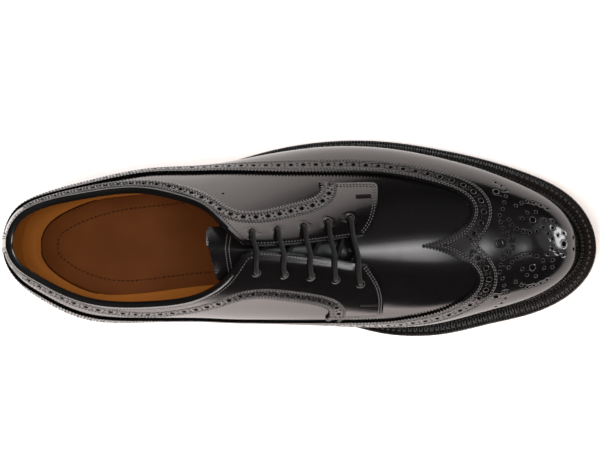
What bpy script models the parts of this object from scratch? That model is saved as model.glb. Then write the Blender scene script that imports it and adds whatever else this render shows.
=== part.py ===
"""Left shoe of a black derby brogue, built on one last.

Metres, +Z up, +X towards the toe, +Y towards the outer side of the foot.
The origin is the centre of the heel's floor face.

A place on the last is given by two numbers.  The first runs from 0 at the back seam to 1 at the
toe tip.  The second, the girth, runs from 1 at the outer feather edge over the ridge at 0 to -1 at
the inner feather edge.  The upper and every panel on it are cut from this one surface.
"""
import math

import bmesh
import bpy
import numpy as np
from mathutils import Vector
from mathutils.geometry import delaunay_2d_cdt

# Last
LAST_LENGTH = 0.2915
LAST_BREADTH = 0.0945
LAST_HEIGHT = 0.0860
BACK_BULGE = 0.0045
BACK_LEAN = 0.0045
BACK_HEIGHT = 0.0645

# Sole, welt and heel
OUTSOLE_THICKNESS = 0.0075
WELT_THICKNESS = 0.0039
WELT_BED = 0.0060
HEEL_HEIGHT = 0.0215
HEEL_LENGTH = 0.0660
LIFT_THICKNESS = 0.0065
TOE_SPRING = 0.0095
TOE_MARGIN = 0.0102
BALL_MARGIN_OUT = 0.0074
BALL_MARGIN_IN = 0.0088
HEEL_MARGIN = 0.0024
EDGE_ROUND = 0.0008
HEEL_TAPER = 0.0015
BREAST_HOLLOW = 0.0040

# Upper, panels, tongue and insole
UPPER_WALL = 0.0022
PANEL_THICKNESS = 0.0013
TONGUE_THICKNESS = 0.0020
INSOLE_THICKNESS = 0.0032
GAP = 0.0003

# Eyelets and lace
EYELET_BORE = 0.0036
LACE_DIAMETER = 0.0027

# Fineness of the solids
LENGTH_STEPS = 28
GIRTH_STEPS = 9
EYELET_SIDES = 8
LACE_SIDES = 8

# One row for each section of the last, from the heel to the toe.
# share: place along LAST_LENGTH.  feather, breadth and ridge_y: shares of LAST_BREADTH.
# rise: height of the ridge above the feather, a share of LAST_HEIGHT.
# shoulder: how far out the section stays on its way up.
SECTION_COLUMNS = ("share", "feather_out", "feather_in", "breadth_out", "breadth_in",
                   "ridge_y", "rise", "shoulder_out", "shoulder_in")
SECTIONS = (
    (0.000, 0.000, 0.000, 0.000, 0.000, 0.000, 0.960, 0.80, 0.80),
    (0.024, 0.188, 0.175, 0.207, 0.194, 0.015, 0.960, 0.80, 0.80),
    (0.065, 0.262, 0.255, 0.277, 0.292, 0.025, 0.962, 0.74, 0.70),
    (0.144, 0.315, 0.310, 0.348, 0.398, 0.015, 0.970, 0.58, 0.67),
    (0.246, 0.350, 0.290, 0.411, 0.405, -0.005, 0.988, 0.42, 0.71),
    (0.349, 0.400, 0.249, 0.432, 0.405, -0.021, 1.006, 0.36, 0.64),
    (0.451, 0.478, 0.259, 0.485, 0.412, -0.032, 0.955, 0.36, 0.58),
    (0.554, 0.526, 0.333, 0.530, 0.420, -0.032, 0.785, 0.50, 0.60),
    (0.656, 0.522, 0.392, 0.529, 0.425, -0.021, 0.640, 0.68, 0.70),
    (0.742, 0.480, 0.394, 0.488, 0.407, 0.000, 0.540, 0.78, 0.80),
    (0.827, 0.411, 0.333, 0.421, 0.345, 0.000, 0.459, 0.85, 0.88),
    (0.896, 0.331, 0.278, 0.340, 0.287, 0.000, 0.390, 0.90, 0.92),
    (0.950, 0.246, 0.207, 0.253, 0.215, 0.000, 0.302, 0.92, 0.94),
    (1.000, 0.000, 0.000, 0.000, 0.000, 0.000, 0.000, 0.92, 0.94),
)
# Columns that pass through nought at the heel, and at the toe, and so change sign there.
ODD_AT_HEEL = ("feather_out", "feather_in", "breadth_out", "breadth_in", "ridge_y")
ODD_AT_TOE = ODD_AT_HEEL + ("rise",)

# Heights of a section's control points above the feather, shares of the ridge's rise.
CONTROL_RISE = (0.0, 0.15, 0.42, 0.80, 1.0, 1.0)
CROWN_SHARE = 0.45
BREADTH_AT = 0.28

# Places along the last where the sole's line changes: heel seat, ball and tread.
SEAT_SHARE = 0.092
BALL_SHARE = 0.620
TREAD_SHARE = 0.735
BACK_FADE_SHARE = 0.30
MARGIN_OUT = (0.10, 0.50)
MARGIN_IN = (0.42, 0.68)
MARGIN_TOE = (0.70, 1.00)

# Edge of the collar and throat, from the back seam to the vamp.
OPENING_COLUMNS = ("share", "out", "in")
OPENING = (
    (0.000, 0.350, 0.350),
    (0.030, 0.385, 0.385),
    (0.070, 0.430, 0.420),
    (0.120, 0.460, 0.440),
    (0.190, 0.480, 0.455),
    (0.250, 0.470, 0.450),
    (0.310, 0.420, 0.420),
    (0.360, 0.340, 0.350),
    (0.400, 0.190, 0.230),
    (0.425, 0.080, 0.080),
    (0.445, 0.035, 0.015),
    (0.500, 0.050, 0.025),
    (0.570, 0.075, 0.062),
    (0.605, 0.085, 0.095),
)
THROAT_END = 0.618

# Edge of the wing from the back seam, over each side, to the peak on the ridge: share, girth.
WING_OUT = ((0.000, 0.560), (0.120, 0.555), (0.250, 0.560), (0.340, 0.555), (0.400, 0.540),
            (0.480, 0.495), (0.578, 0.435), (0.648, 0.400), (0.700, 0.390), (0.733, 0.375),
            (0.765, 0.350), (0.792, 0.315), (0.810, 0.255), (0.812, 0.185), (0.799, 0.115),
            (0.770, 0.050))
WING_IN = ((0.000, 0.560), (0.120, 0.570), (0.250, 0.600), (0.400, 0.610), (0.560, 0.575),
           (0.648, 0.515), (0.690, 0.480), (0.725, 0.455), (0.772, 0.415), (0.799, 0.375),
           (0.817, 0.315), (0.826, 0.245), (0.820, 0.180), (0.804, 0.110), (0.768, 0.042))
WING_PEAK = (0.730, 0.0)

# Edge of each facing from the throat's foot round its corner, then of the collar band to the heel.
FACING_OUT = ((0.628, 0.090), (0.642, 0.135), (0.648, 0.205), (0.648, 0.285), (0.643, 0.345),
              (0.630, 0.362), (0.580, 0.372), (0.552, 0.388), (0.543, 0.345), (0.513, 0.310),
              (0.448, 0.283), (0.415, 0.297), (0.383, 0.350), (0.340, 0.430), (0.250, 0.520),
              (0.150, 0.530), (0.080, 0.505), (0.030, 0.460))
FACING_IN = ((0.633, 0.105), (0.648, 0.150), (0.656, 0.225), (0.657, 0.330), (0.656, 0.425),
             (0.646, 0.487), (0.580, 0.517), (0.556, 0.520), (0.546, 0.420), (0.520, 0.370),
             (0.441, 0.336), (0.409, 0.352), (0.383, 0.400), (0.340, 0.460), (0.250, 0.510),
             (0.150, 0.515), (0.080, 0.495), (0.030, 0.460))
BACKSTAY_SHARE = 0.0016
BACKSTAY_CLEAR = 0.0004
BACKSTAY_FOOT = 0.545

# Tongue: share, outer and inner girth of its edges, from its free end to its seam.
TONGUE = ((0.371, 0.150, 0.200), (0.373, 0.200, 0.250), (0.385, 0.222, 0.270),
          (0.430, 0.240, 0.290), (0.520, 0.280, 0.340), (0.620, 0.330, 0.380),
          (0.690, 0.320, 0.350))

# Eyelets from the top pair down: share and girth on the outer side, then on the inner side.
EYELETS = ((0.441, 0.160, 0.448, 0.180), (0.482, 0.170, 0.493, 0.195), (0.525, 0.180, 0.537, 0.207),
           (0.565, 0.187, 0.579, 0.224), (0.603, 0.196, 0.621, 0.250))

BACK_X = -(HEEL_LENGTH / 2 - HEEL_MARGIN)
FEATHER_STACK = OUTSOLE_THICKNESS + WELT_THICKNESS + 2 * GAP


def smoothstep(t):
    t = np.clip(t, 0.0, 1.0)
    return t * t * (3 - 2 * t)


def place_of(share):
    """Turn a share of the length into the surface's first number."""
    return np.arccos(1 - 2 * np.asarray(share, float)) / math.pi


def share_of(place):
    return (1 - np.cos(math.pi * np.asarray(place, float))) / 2


def natural_spline(knots, values, at):
    """Value at each place of the natural cubic spline through the knots."""
    knots = np.asarray(knots, float)
    values = np.asarray(values, float)
    step = np.diff(knots)
    count = len(knots)
    matrix = np.eye(count)
    right = np.zeros(count)
    for i in range(1, count - 1):
        matrix[i, i - 1:i + 2] = step[i - 1], 2 * (step[i - 1] + step[i]), step[i]
        slopes = (values[i + 1] - values[i]) / step[i] - (values[i] - values[i - 1]) / step[i - 1]
        right[i] = 6 * slopes
    bend = np.linalg.solve(matrix, right)
    at = np.asarray(at, float)
    k = np.clip(np.searchsorted(knots, at) - 1, 0, count - 2)
    a = (knots[k + 1] - at) / step[k]
    b = (at - knots[k]) / step[k]
    curved = ((a ** 3 - a) * bend[k] + (b ** 3 - b) * bend[k + 1]) * step[k] ** 2 / 6
    return a * values[k] + b * values[k + 1] + curved


def section_column(name, place):
    """A column of SECTIONS as a smooth curve, reflected at the heel and the toe."""
    index = SECTION_COLUMNS.index(name)
    knots = place_of([row[0] for row in SECTIONS])
    values = np.array([row[index] for row in SECTIONS])
    heel_sign = -1 if name in ODD_AT_HEEL else 1
    toe_sign = -1 if name in ODD_AT_TOE else 1
    mirrored = 3
    heel = slice(mirrored, 0, -1)
    toe = slice(-2, -2 - mirrored, -1)
    all_knots = np.concatenate((-knots[heel], knots, 2 - knots[toe]))
    all_values = np.concatenate((heel_sign * values[heel], values, toe_sign * values[toe]))
    return natural_spline(all_knots, all_values, place)


def feather_lift(x):
    """Height of the outsole's underside above the floor, from the heel over the ball to the toe."""
    share = (x - BACK_X) / LAST_LENGTH
    heel = HEEL_HEIGHT * smoothstep((BALL_SHARE - share) / (BALL_SHARE - SEAT_SHARE))
    toe = TOE_SPRING * np.clip((share - TREAD_SHARE) / (1 - TREAD_SHARE), 0, None) ** 2
    return heel + toe


def feather_height(x):
    return FEATHER_STACK + feather_lift(x)


def last_point(place, girth):
    """Points of the last, from arrays of the two surface numbers."""
    place, girth = np.broadcast_arrays(np.asarray(place, float), np.asarray(girth, float))
    share = share_of(place)
    column = {name: section_column(name, place) for name in SECTION_COLUMNS[1:]}
    outer = girth >= 0
    t = 1 - np.abs(girth)
    basis = [math.comb(5, k) * t ** k * (1 - t) ** (5 - k) for k in range(6)]
    fixed = [math.comb(5, k) * BREADTH_AT ** k * (1 - BREADTH_AT) ** (5 - k) for k in range(6)]
    feather = LAST_BREADTH * np.where(outer, column["feather_out"], column["feather_in"])
    breadth = LAST_BREADTH * np.where(outer, column["breadth_out"], column["breadth_in"])
    shoulder = np.where(outer, column["shoulder_out"], column["shoulder_in"])
    sign = np.where(outer, 1.0, -1.0)
    ridge = sign * LAST_BREADTH * column["ridge_y"]
    reach = fixed[1] + fixed[2] + shoulder * (fixed[3] + CROWN_SHARE * fixed[4])
    rest = fixed[0] * feather + (fixed[4] + fixed[5]) * ridge
    wide = (breadth - rest) / reach
    y = (basis[0] * feather + (basis[1] + basis[2]) * wide + basis[3] * shoulder * wide
         + basis[4] * (ridge + CROWN_SHARE * shoulder * wide) + basis[5] * ridge)
    rise = LAST_HEIGHT * column["rise"]
    height = rise * sum(b * c for b, c in zip(basis, CONTROL_RISE))
    h = height / BACK_HEIGHT
    back = BACK_LEAN * h ** 2 - BACK_BULGE * np.sin(math.pi * np.clip(h, 0, 1))
    fade = 1 - smoothstep(share / BACK_FADE_SHARE)
    base_x = BACK_X + LAST_LENGTH * share
    return np.stack((base_x + back * fade, sign * y, feather_height(base_x) + height), axis=-1)


def last_normal(place, girth):
    """Outward directions on the last, level along the feather edge."""
    place, girth = np.broadcast_arrays(np.asarray(place, float), np.asarray(girth, float))
    small = 1e-3
    inside = np.clip(place, small, 1 - small)
    across = np.clip(girth, -1 + small, 1 - small)
    along = last_point(inside + small / 2, across) - last_point(inside - small / 2, across)
    around = last_point(inside, across + small / 2) - last_point(inside, across - small / 2)
    normal = np.cross(along, around)
    normal[place <= 0, 1] = 0
    normal[place >= 1] = (1, 0, 0)
    normal[np.abs(girth) >= 1, 2] = 0
    return normal / np.linalg.norm(normal, axis=-1, keepdims=True)


LATTICE_PLACES = np.linspace(0, 1, LENGTH_STEPS + 1)
LATTICE_GIRTHS = np.linspace(-1, 1, 2 * GIRTH_STEPS + 1)


def lattice_points(offset):
    """The last's lattice moved out by offset; its feather edge stays on the feather's height."""
    place, girth = np.meshgrid(LATTICE_PLACES, LATTICE_GIRTHS, indexing="ij")
    points = last_point(place, girth) + offset * last_normal(place, girth)
    edge = np.abs(girth) >= 1
    points[edge, 2] = feather_height(points[edge, 0])
    return points


def faceted_points(flat, offset):
    """Points on the flat facets of the moved lattice, so that all its layers stay parallel."""
    lattice = lattice_points(offset)
    a = flat[:, 0] * LENGTH_STEPS
    b = (flat[:, 1] + 1) * GIRTH_STEPS
    i = np.clip(np.floor(a).astype(int), 0, LENGTH_STEPS - 1)
    j = np.clip(np.floor(b).astype(int), 0, 2 * GIRTH_STEPS - 1)
    a = (a - i)[:, None]
    b = (b - j)[:, None]
    origin, corner = lattice[i, j], lattice[i + 1, j + 1]
    lower = origin + a * (lattice[i + 1, j] - origin) + b * (corner - lattice[i + 1, j])
    upper = origin + b * (lattice[i, j + 1] - origin) + a * (corner - lattice[i, j + 1])
    return np.where(a >= b, lower, upper)


def inside_outline(points, outline):
    """Even and odd test of many points against one closed outline."""
    x, y = points[:, 0:1], points[:, 1:2]
    x0, y0 = outline[:, 0], outline[:, 1]
    x1, y1 = np.roll(x0, -1), np.roll(y0, -1)
    spans = (y0 > y) != (y1 > y)
    with np.errstate(divide="ignore", invalid="ignore"):
        crossing = x0 + (y - y0) * (x1 - x0) / (y1 - y0)
    return (spans & (x < crossing)).sum(axis=1) % 2 == 1


def cut_lattice(outlines, holes):
    """Cut the lattice's triangles along outlines, and keep those inside them and clear of holes."""
    rows, columns = len(LATTICE_PLACES), len(LATTICE_GIRTHS)
    points = [(u, v) for u in LATTICE_PLACES for v in LATTICE_GIRTHS]
    edges = []
    for i in range(rows):
        for j in range(columns):
            here = i * columns + j
            if i + 1 < rows:
                edges.append((here, here + columns))
            if j + 1 < columns:
                edges.append((here, here + 1))
            if i + 1 < rows and j + 1 < columns:
                edges.append((here, here + columns + 1))
    for loop in outlines + holes:
        first = len(points)
        points.extend(map(tuple, loop))
        edges.extend((first + k, first + (k + 1) % len(loop)) for k in range(len(loop)))
    flat, _, triangles, _, _, _ = delaunay_2d_cdt([Vector(p) for p in points], edges, [], 0, 1e-6)
    flat = np.array([tuple(p) for p in flat])
    flat[:, 0] = np.clip(flat[:, 0], 0, 1)
    flat[:, 1] = np.clip(flat[:, 1], -1, 1)
    triangles = np.array([t for t in triangles if len(t) == 3])
    middle = flat[triangles].mean(axis=1)
    keep = np.zeros(len(triangles), bool)
    for outline in outlines:
        keep |= inside_outline(middle, np.asarray(outline))
    for hole in holes:
        keep &= ~inside_outline(middle, np.asarray(hole))
    return flat, triangles[keep]


def material(name, colour, roughness, metallic=0.0):
    made = bpy.data.materials.new(name)
    made.use_nodes = True
    shader = made.node_tree.nodes["Principled BSDF"]
    shader.inputs["Base Color"].default_value = (*colour, 1.0)
    shader.inputs["Roughness"].default_value = roughness
    shader.inputs["Metallic"].default_value = metallic
    return made


def solid(name, points, faces, finish):
    """Make a closed object of points and faces; points that coincide become one."""
    mesh = bpy.data.meshes.new(name)
    mesh.from_pydata([tuple(p) for p in points], [], faces)
    shape = bmesh.new()
    shape.from_mesh(mesh)
    bmesh.ops.remove_doubles(shape, verts=shape.verts, dist=2e-6)
    bmesh.ops.dissolve_degenerate(shape, edges=shape.edges, dist=2e-6)
    bmesh.ops.triangulate(shape, faces=shape.faces)
    bmesh.ops.recalc_face_normals(shape, faces=shape.faces)
    if shape.calc_volume(signed=True) < 0:
        bmesh.ops.reverse_faces(shape, faces=shape.faces)
    shape.to_mesh(mesh)
    shape.free()
    mesh.shade_smooth()
    mesh.set_sharp_from_angle(angle=math.radians(40))
    made = bpy.data.objects.new(name, mesh)
    made.data.materials.append(finish)
    bpy.context.scene.collection.objects.link(made)
    return made


def panel(name, outlines, holes, inner, outer, finish):
    """A layer of the upper between two offsets of the last, inside the outlines."""
    flat, triangles = cut_lattice(outlines, holes)
    used = np.unique(triangles)
    index = np.full(len(flat), -1)
    index[used] = np.arange(len(used))
    triangles = index[triangles]
    flat = flat[used]
    low, high = faceted_points(flat, inner), faceted_points(flat, outer)
    # Places that share one point of the last, such as the back seam and the toe tip, are one.
    keys = {}
    same = np.array([keys.setdefault(tuple(k), n) for n, k in enumerate(np.round(high, 6))])
    triangles = same[triangles]
    distinct = ((triangles[:, 0] != triangles[:, 1]) & (triangles[:, 1] != triangles[:, 2])
                & (triangles[:, 2] != triangles[:, 0]))
    triangles = triangles[distinct]
    count = len(flat)
    faces = [tuple(t) for t in triangles] + [tuple(t[::-1] + count) for t in triangles]
    directed = {}
    for t in triangles:
        for k in range(3):
            directed[(t[k], t[(k + 1) % 3])] = True
    for a, b in directed:
        if (b, a) not in directed:
            faces.append((b, a, a + count, b + count))
    return solid(name, np.concatenate((high, low)), faces, finish)


def smooth_path(rows, steps):
    """A smooth line through hand-placed rows of share and girth, as surface numbers."""
    rows = np.asarray(rows, float)
    knots = np.arange(len(rows))
    at = np.linspace(0, len(rows) - 1, steps)
    places = place_of(rows[:, 0])
    return np.stack((natural_spline(knots, places, at), natural_spline(knots, rows[:, 1], at)), 1)


def opening_edge(side):
    """The collar and throat edge on one side, from the back seam to the throat's end."""
    column = OPENING_COLUMNS.index(side)
    sign = 1 if side == "out" else -1
    rows = [(row[0], row[column]) for row in OPENING]
    path = smooth_path(rows, 3 * len(rows))
    path[0, 0] = 0
    path[:, 1] *= sign
    return path


def eyelet_places():
    """Surface numbers of the eyelets, outer and inner, from the top pair down."""
    return [((float(place_of(a)), b), (float(place_of(c)), -d)) for a, b, c, d in EYELETS]


def surface_circle(centre, radius, sides):
    """A circle on the last round a place, as surface numbers."""
    small = 1e-3
    at = np.array(centre)
    along = (last_point(at[0] + small, at[1]) - last_point(at[0] - small, at[1])) / (2 * small)
    around = (last_point(at[0], at[1] + small) - last_point(at[0], at[1] - small)) / (2 * small)
    frame = np.linalg.pinv(np.stack((along, around), axis=1))
    first = along / np.linalg.norm(along)
    normal = np.cross(along, around)
    second = np.cross(normal / np.linalg.norm(normal), first)
    angles = 2 * math.pi * (np.arange(sides) + 0.5) / sides
    rim = radius * (np.outer(np.cos(angles), first) + np.outer(np.sin(angles), second))
    return at + rim @ frame.T


def make_upper(finish):
    outer, inner = opening_edge("out"), opening_edge("in")
    throat = [(float(place_of(THROAT_END)), (outer[-1, 1] + inner[-1, 1]) / 2)]
    outline = np.concatenate(([(0, 1), (1, 1), (1, -1), (0, -1)], inner, throat, outer[::-1]))
    holes = [surface_circle(centre, EYELET_BORE / 2, EYELET_SIDES)
             for pair in eyelet_places() for centre in pair]
    return panel("upper", [outline], holes, -UPPER_WALL, 0.0, finish)


def make_wing(finish):
    outer = smooth_path(WING_OUT + (WING_PEAK,), 4 * len(WING_OUT))
    inner = smooth_path(WING_IN + (WING_PEAK,), 4 * len(WING_IN))
    inner[:, 1] *= -1
    outline = np.concatenate(([(0, 1), (1, 1), (1, -1), (0, -1)], inner, outer[-2::-1]))
    return panel("wing", [outline], [], GAP, GAP + PANEL_THICKNESS, finish)


def make_facing(name, side, finish):
    rows = FACING_OUT if side == "out" else FACING_IN
    sign = 1 if side == "out" else -1
    top = opening_edge(side)
    start = float(place_of(BACKSTAY_SHARE + BACKSTAY_CLEAR))
    top = top[top[:, 0] > start]
    below = smooth_path(rows, 3 * len(rows))
    below[:, 1] *= sign
    back = [(start, below[-1, 1]), (start, top[0, 1])]
    outline = np.concatenate((top, below, back))
    which = 0 if side == "out" else 1
    holes = [surface_circle(pair[which], EYELET_BORE / 2, EYELET_SIDES)
             for pair in eyelet_places()]
    return panel(name, [outline], holes, GAP, GAP + PANEL_THICKNESS, finish)


def make_backstay(finish):
    outlines = []
    edge = float(place_of(BACKSTAY_SHARE))
    for side, sign in (("out", 1), ("in", -1)):
        top = OPENING[0][OPENING_COLUMNS.index(side)]
        low, high = sign * top, sign * BACKSTAY_FOOT
        outlines.append(np.array([(0, low), (edge, low), (edge, high), (0, high)]))
    return panel("backstay", outlines, [], GAP, GAP + PANEL_THICKNESS, finish)


def make_tongue(finish):
    outer = smooth_path([(row[0], row[1]) for row in TONGUE], 2 * len(TONGUE))
    inner = smooth_path([(row[0], row[2]) for row in TONGUE], 2 * len(TONGUE))
    inner[:, 1] *= -1
    outline = np.concatenate((outer, inner[::-1]))
    top = -UPPER_WALL - GAP
    return panel("tongue", [outline], [], top - TONGUE_THICKNESS, top, finish)


def edge_margin(share, side):
    """How far the welt and the outsole stand out past the feather edge."""
    start, end = MARGIN_OUT if side > 0 else MARGIN_IN
    ball = BALL_MARGIN_OUT if side > 0 else BALL_MARGIN_IN
    to_ball = smoothstep((share - start) / (end - start))
    to_toe = smoothstep((share - MARGIN_TOE[0]) / (MARGIN_TOE[1] - MARGIN_TOE[0]))
    return HEEL_MARGIN + (ball - HEEL_MARGIN) * to_ball + (TOE_MARGIN - ball) * to_toe


def sole_edge(places, side, reach):
    """Plan points past the feather edge.  reach gives the distance for each share and side."""
    points = last_point(places, side * np.ones_like(places))[:, :2]
    normals = last_normal(places, side * np.ones_like(places))[:, :2]
    distance = reach(share_of(places), side)
    return points + normals * np.broadcast_to(distance, places.shape)[:, None]


def sole_places(last_share=1.0):
    """Stations for the sole's pieces, with the ends of the flat tread among them."""
    end = float(place_of(last_share))
    marks = [float(place_of(s)) for s in (BALL_SHARE, TREAD_SHARE)] + [end]
    joined = np.unique(np.round(np.concatenate((LATTICE_PLACES, marks)), 6))
    joined = joined[joined <= end + 1e-6]
    spaced = [joined[0]]
    for place in joined[1:]:
        marked = min(abs(place - m) for m in marks) < 1e-6
        close = place - spaced[-1] < 0.3 / LENGTH_STEPS
        if close and marked:
            spaced[-1] = place
        elif not close:
            spaced.append(place)
    return np.array(spaced)


def plan_grid(places, reach, hollow=0.0, columns=5):
    """A grid of plan points between the two edges; hollow draws its front end back."""
    outer = sole_edge(places, 1, reach)
    inner = sole_edge(places, -1, reach)
    across = np.linspace(0, 1, columns)[None, :, None]
    grid = outer[:, None, :] * (1 - across) + inner[:, None, :] * across
    bow = 1 - (2 * np.linspace(0, 1, columns) - 1) ** 2
    grid[-1, :, 0] -= hollow * bow
    return grid


def plate(name, places, levels, finish, hollow=0.0):
    """A plate whose edge follows levels, each a reach past the feather and a height function."""
    grids = []
    for reach, height in levels:
        plan = plan_grid(places, reach, hollow)
        grids.append(np.concatenate((plan, height(plan[..., 0])[..., None]), axis=2))
    rows, columns = grids[0].shape[:2]
    size = rows * columns
    index = np.arange(size).reshape(rows, columns)
    quads = np.stack((index[:-1, :-1], index[1:, :-1], index[1:, 1:], index[:-1, 1:]), -1)
    quads = quads.reshape(-1, 4)
    loop = np.concatenate((index[:, 0], index[-1, 1:], index[-2::-1, -1], index[0, -2:0:-1]))
    faces = [tuple(q[::-1]) for q in quads]
    faces += [tuple(q + size * (len(levels) - 1)) for q in quads]
    for level in range(len(levels) - 1):
        here, above = loop + size * level, loop + size * (level + 1)
        for k in range(len(loop)):
            n = (k + 1) % len(loop)
            faces.append((here[k], here[n], above[n], above[k]))
    points = np.concatenate([grid.reshape(-1, 3) for grid in grids])
    used = sorted({v for face in faces for v in face})
    renumber = {v: n for n, v in enumerate(used)}
    faces = [tuple(renumber[v] for v in face) for face in faces]
    return solid(name, points[used], faces, finish)


def make_outsole(finish):
    def full(share, side):
        return edge_margin(share, side)

    def trimmed(share, side):
        return edge_margin(share, side) - EDGE_ROUND

    levels = [(trimmed, feather_lift),
              (full, lambda x: feather_lift(x) + EDGE_ROUND),
              (full, lambda x: feather_lift(x) + OUTSOLE_THICKNESS - EDGE_ROUND / 2),
              (trimmed, lambda x: feather_lift(x) + OUTSOLE_THICKNESS)]
    return plate("outsole", sole_places(), levels, finish)


def make_welt(finish):
    """A strip round the shoe, from the sole's edge to a bed under the insole."""
    places = sole_places()
    base = OUTSOLE_THICKNESS + GAP

    def bed(share, side):
        return -WELT_BED * np.ones_like(share)

    def trimmed(share, side):
        return edge_margin(share, side) - EDGE_ROUND

    profile = [(bed, base), (edge_margin, base), (edge_margin, base + WELT_THICKNESS - EDGE_ROUND),
               (trimmed, base + WELT_THICKNESS), (bed, base + WELT_THICKNESS)]
    rings = []
    for reach, height in profile:
        outer = sole_edge(places, 1, reach)
        inner = sole_edge(places[-2:0:-1], -1, reach)
        plan = np.concatenate((outer, inner))
        rings.append(np.column_stack((plan, feather_lift(plan[:, 0]) + height)))
    count = len(rings[0])
    faces = []
    for r in range(len(rings)):
        s = (r + 1) % len(rings)
        for k in range(count):
            n = (k + 1) % count
            faces.append((r * count + k, r * count + n, s * count + n, s * count + k))
    return solid("welt", np.concatenate(rings), faces, finish)


def make_insole(finish):
    def seat(share, side):
        return -(UPPER_WALL + GAP) * np.ones_like(share)

    levels = [(seat, lambda x: feather_height(x)),
              (seat, lambda x: feather_height(x) + INSOLE_THICKNESS)]
    places = sole_places()
    return plate("insole", places[(places > 0.03) & (places < 0.97)], levels, finish)


def heel_share():
    """Share of the last at which the heel ends in its breast."""
    return (HEEL_LENGTH - HEEL_MARGIN) / LAST_LENGTH


def make_heel(stack_finish, lift_finish):
    places = sole_places(heel_share())

    def taper(part):
        return lambda share, side: edge_margin(share, side) - EDGE_ROUND / 2 - HEEL_TAPER * part

    lift_part = 1 - LIFT_THICKNESS / HEEL_HEIGHT
    lift = [(taper(1), lambda x: np.zeros_like(x)),
            (taper(lift_part), lambda x: np.full_like(x, LIFT_THICKNESS))]
    stack = [(taper(lift_part), lambda x: np.full_like(x, LIFT_THICKNESS + GAP)),
             (taper(0), lambda x: feather_lift(x) - GAP)]
    plate("heel_lift", places, lift, lift_finish, BREAST_HOLLOW)
    plate("heel_stack", places, stack, stack_finish, BREAST_HOLLOW)


def tube(name, centres, radius, sides, finish):
    """A round bar along a line of points, with flat ends."""
    centres = np.asarray(centres)
    run = np.gradient(centres, axis=0)
    run /= np.linalg.norm(run, axis=1, keepdims=True)
    side = np.cross(run, (1.0, 0.0, 0.0))
    side /= np.linalg.norm(side, axis=1, keepdims=True)
    up = np.cross(side, run)
    angles = 2 * math.pi * np.arange(sides) / sides
    rings = (centres[:, None] + radius * np.cos(angles)[None, :, None] * side[:, None]
             + radius * np.sin(angles)[None, :, None] * up[:, None])
    faces = []
    for i in range(len(centres) - 1):
        for k in range(sides):
            n = (k + 1) % sides
            faces.append((i * sides + k, i * sides + n, (i + 1) * sides + n, (i + 1) * sides + k))
    faces.append(tuple(range(sides))[::-1])
    faces.append(tuple((len(centres) - 1) * sides + k for k in range(sides)))
    return solid(name, rings.reshape(-1, 3), faces, finish)


def make_lace_bars(finish):
    height = 2 * GAP + PANEL_THICKNESS + LACE_DIAMETER / 2 + GAP
    for number, (outer, inner) in enumerate(eyelet_places(), start=1):
        t = np.linspace(0, 1, 9)
        places = outer[0] + (inner[0] - outer[0]) * t
        girths = outer[1] + (inner[1] - outer[1]) * t
        centres = last_point(places, girths) + height * last_normal(places, girths)
        tube(f"lace_bar_{number}", centres, LACE_DIAMETER / 2, LACE_SIDES, finish)


def main():
    for old in list(bpy.data.objects):
        bpy.data.objects.remove(old)
    black = material("black_polished_leather", (0.012, 0.012, 0.013), 0.22)
    edge = material("black_sole_edge", (0.020, 0.017, 0.015), 0.45)
    tread = material("tan_sole_leather", (0.42, 0.24, 0.12), 0.60)
    stacked = material("stacked_heel_leather", (0.022, 0.018, 0.016), 0.45)
    rubber = material("black_rubber", (0.015, 0.015, 0.015), 0.75)
    sock = material("tan_sock_leather", (0.40, 0.20, 0.08), 0.50)
    cord = material("black_waxed_cord", (0.016, 0.016, 0.017), 0.50)
    make_outsole(tread)
    make_welt(edge)
    make_heel(stacked, rubber)
    make_insole(sock)
    make_upper(black)
    make_wing(black)
    make_facing("facing_outer", "out", black)
    make_facing("facing_inner", "in", black)
    make_backstay(black)
    make_tongue(black)
    make_lace_bars(cord)


main()
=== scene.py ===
"""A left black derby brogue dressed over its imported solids, with the studio it stands in.

Metres, +Z up, +X towards the toe, +Y towards the outer side of the foot.  The origin is the centre
of the heel's floor face.

A place on the last is a pair of surface numbers.  The first runs from 0 at the back seam to 1 at
the toe tip.  The second, the girth, runs from 1 at the outer feather edge over the ridge at 0 to
-1 at the inner feather edge.  Leather, holes and stitches are all laid out in these numbers.
"""

import logging
import math
from collections.abc import Callable
from dataclasses import dataclass, field
from enum import Enum

import bmesh
import bpy
import numpy as np
from mathutils import Matrix, Vector
from mathutils.geometry import delaunay_2d_cdt

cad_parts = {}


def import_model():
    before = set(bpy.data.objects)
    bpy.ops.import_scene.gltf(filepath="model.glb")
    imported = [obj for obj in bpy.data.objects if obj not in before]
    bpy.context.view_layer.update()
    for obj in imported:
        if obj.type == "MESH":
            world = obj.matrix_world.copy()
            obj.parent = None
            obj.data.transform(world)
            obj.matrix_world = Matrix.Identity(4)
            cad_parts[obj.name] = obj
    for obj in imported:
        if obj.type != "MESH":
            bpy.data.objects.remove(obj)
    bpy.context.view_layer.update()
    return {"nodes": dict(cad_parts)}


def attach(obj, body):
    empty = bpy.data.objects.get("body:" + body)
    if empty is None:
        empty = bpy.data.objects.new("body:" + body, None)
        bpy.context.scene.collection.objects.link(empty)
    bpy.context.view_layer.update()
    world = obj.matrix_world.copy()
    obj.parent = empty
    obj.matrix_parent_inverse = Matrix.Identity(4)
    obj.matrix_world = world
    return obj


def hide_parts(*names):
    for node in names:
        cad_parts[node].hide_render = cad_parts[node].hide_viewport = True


# Surface: a value for each place.  Shape: points, and arrays of faces.
Surface = Callable[[np.ndarray], np.ndarray]
Shape = tuple[np.ndarray, list[np.ndarray]]
Colour = tuple[float, float, float]

LOG = logging.getLogger("brogue")
MM = 0.001
WELD = 0.002 * MM
LINE_STEP = 0.5 * MM
PHOTO_WIDTH = 600

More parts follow.
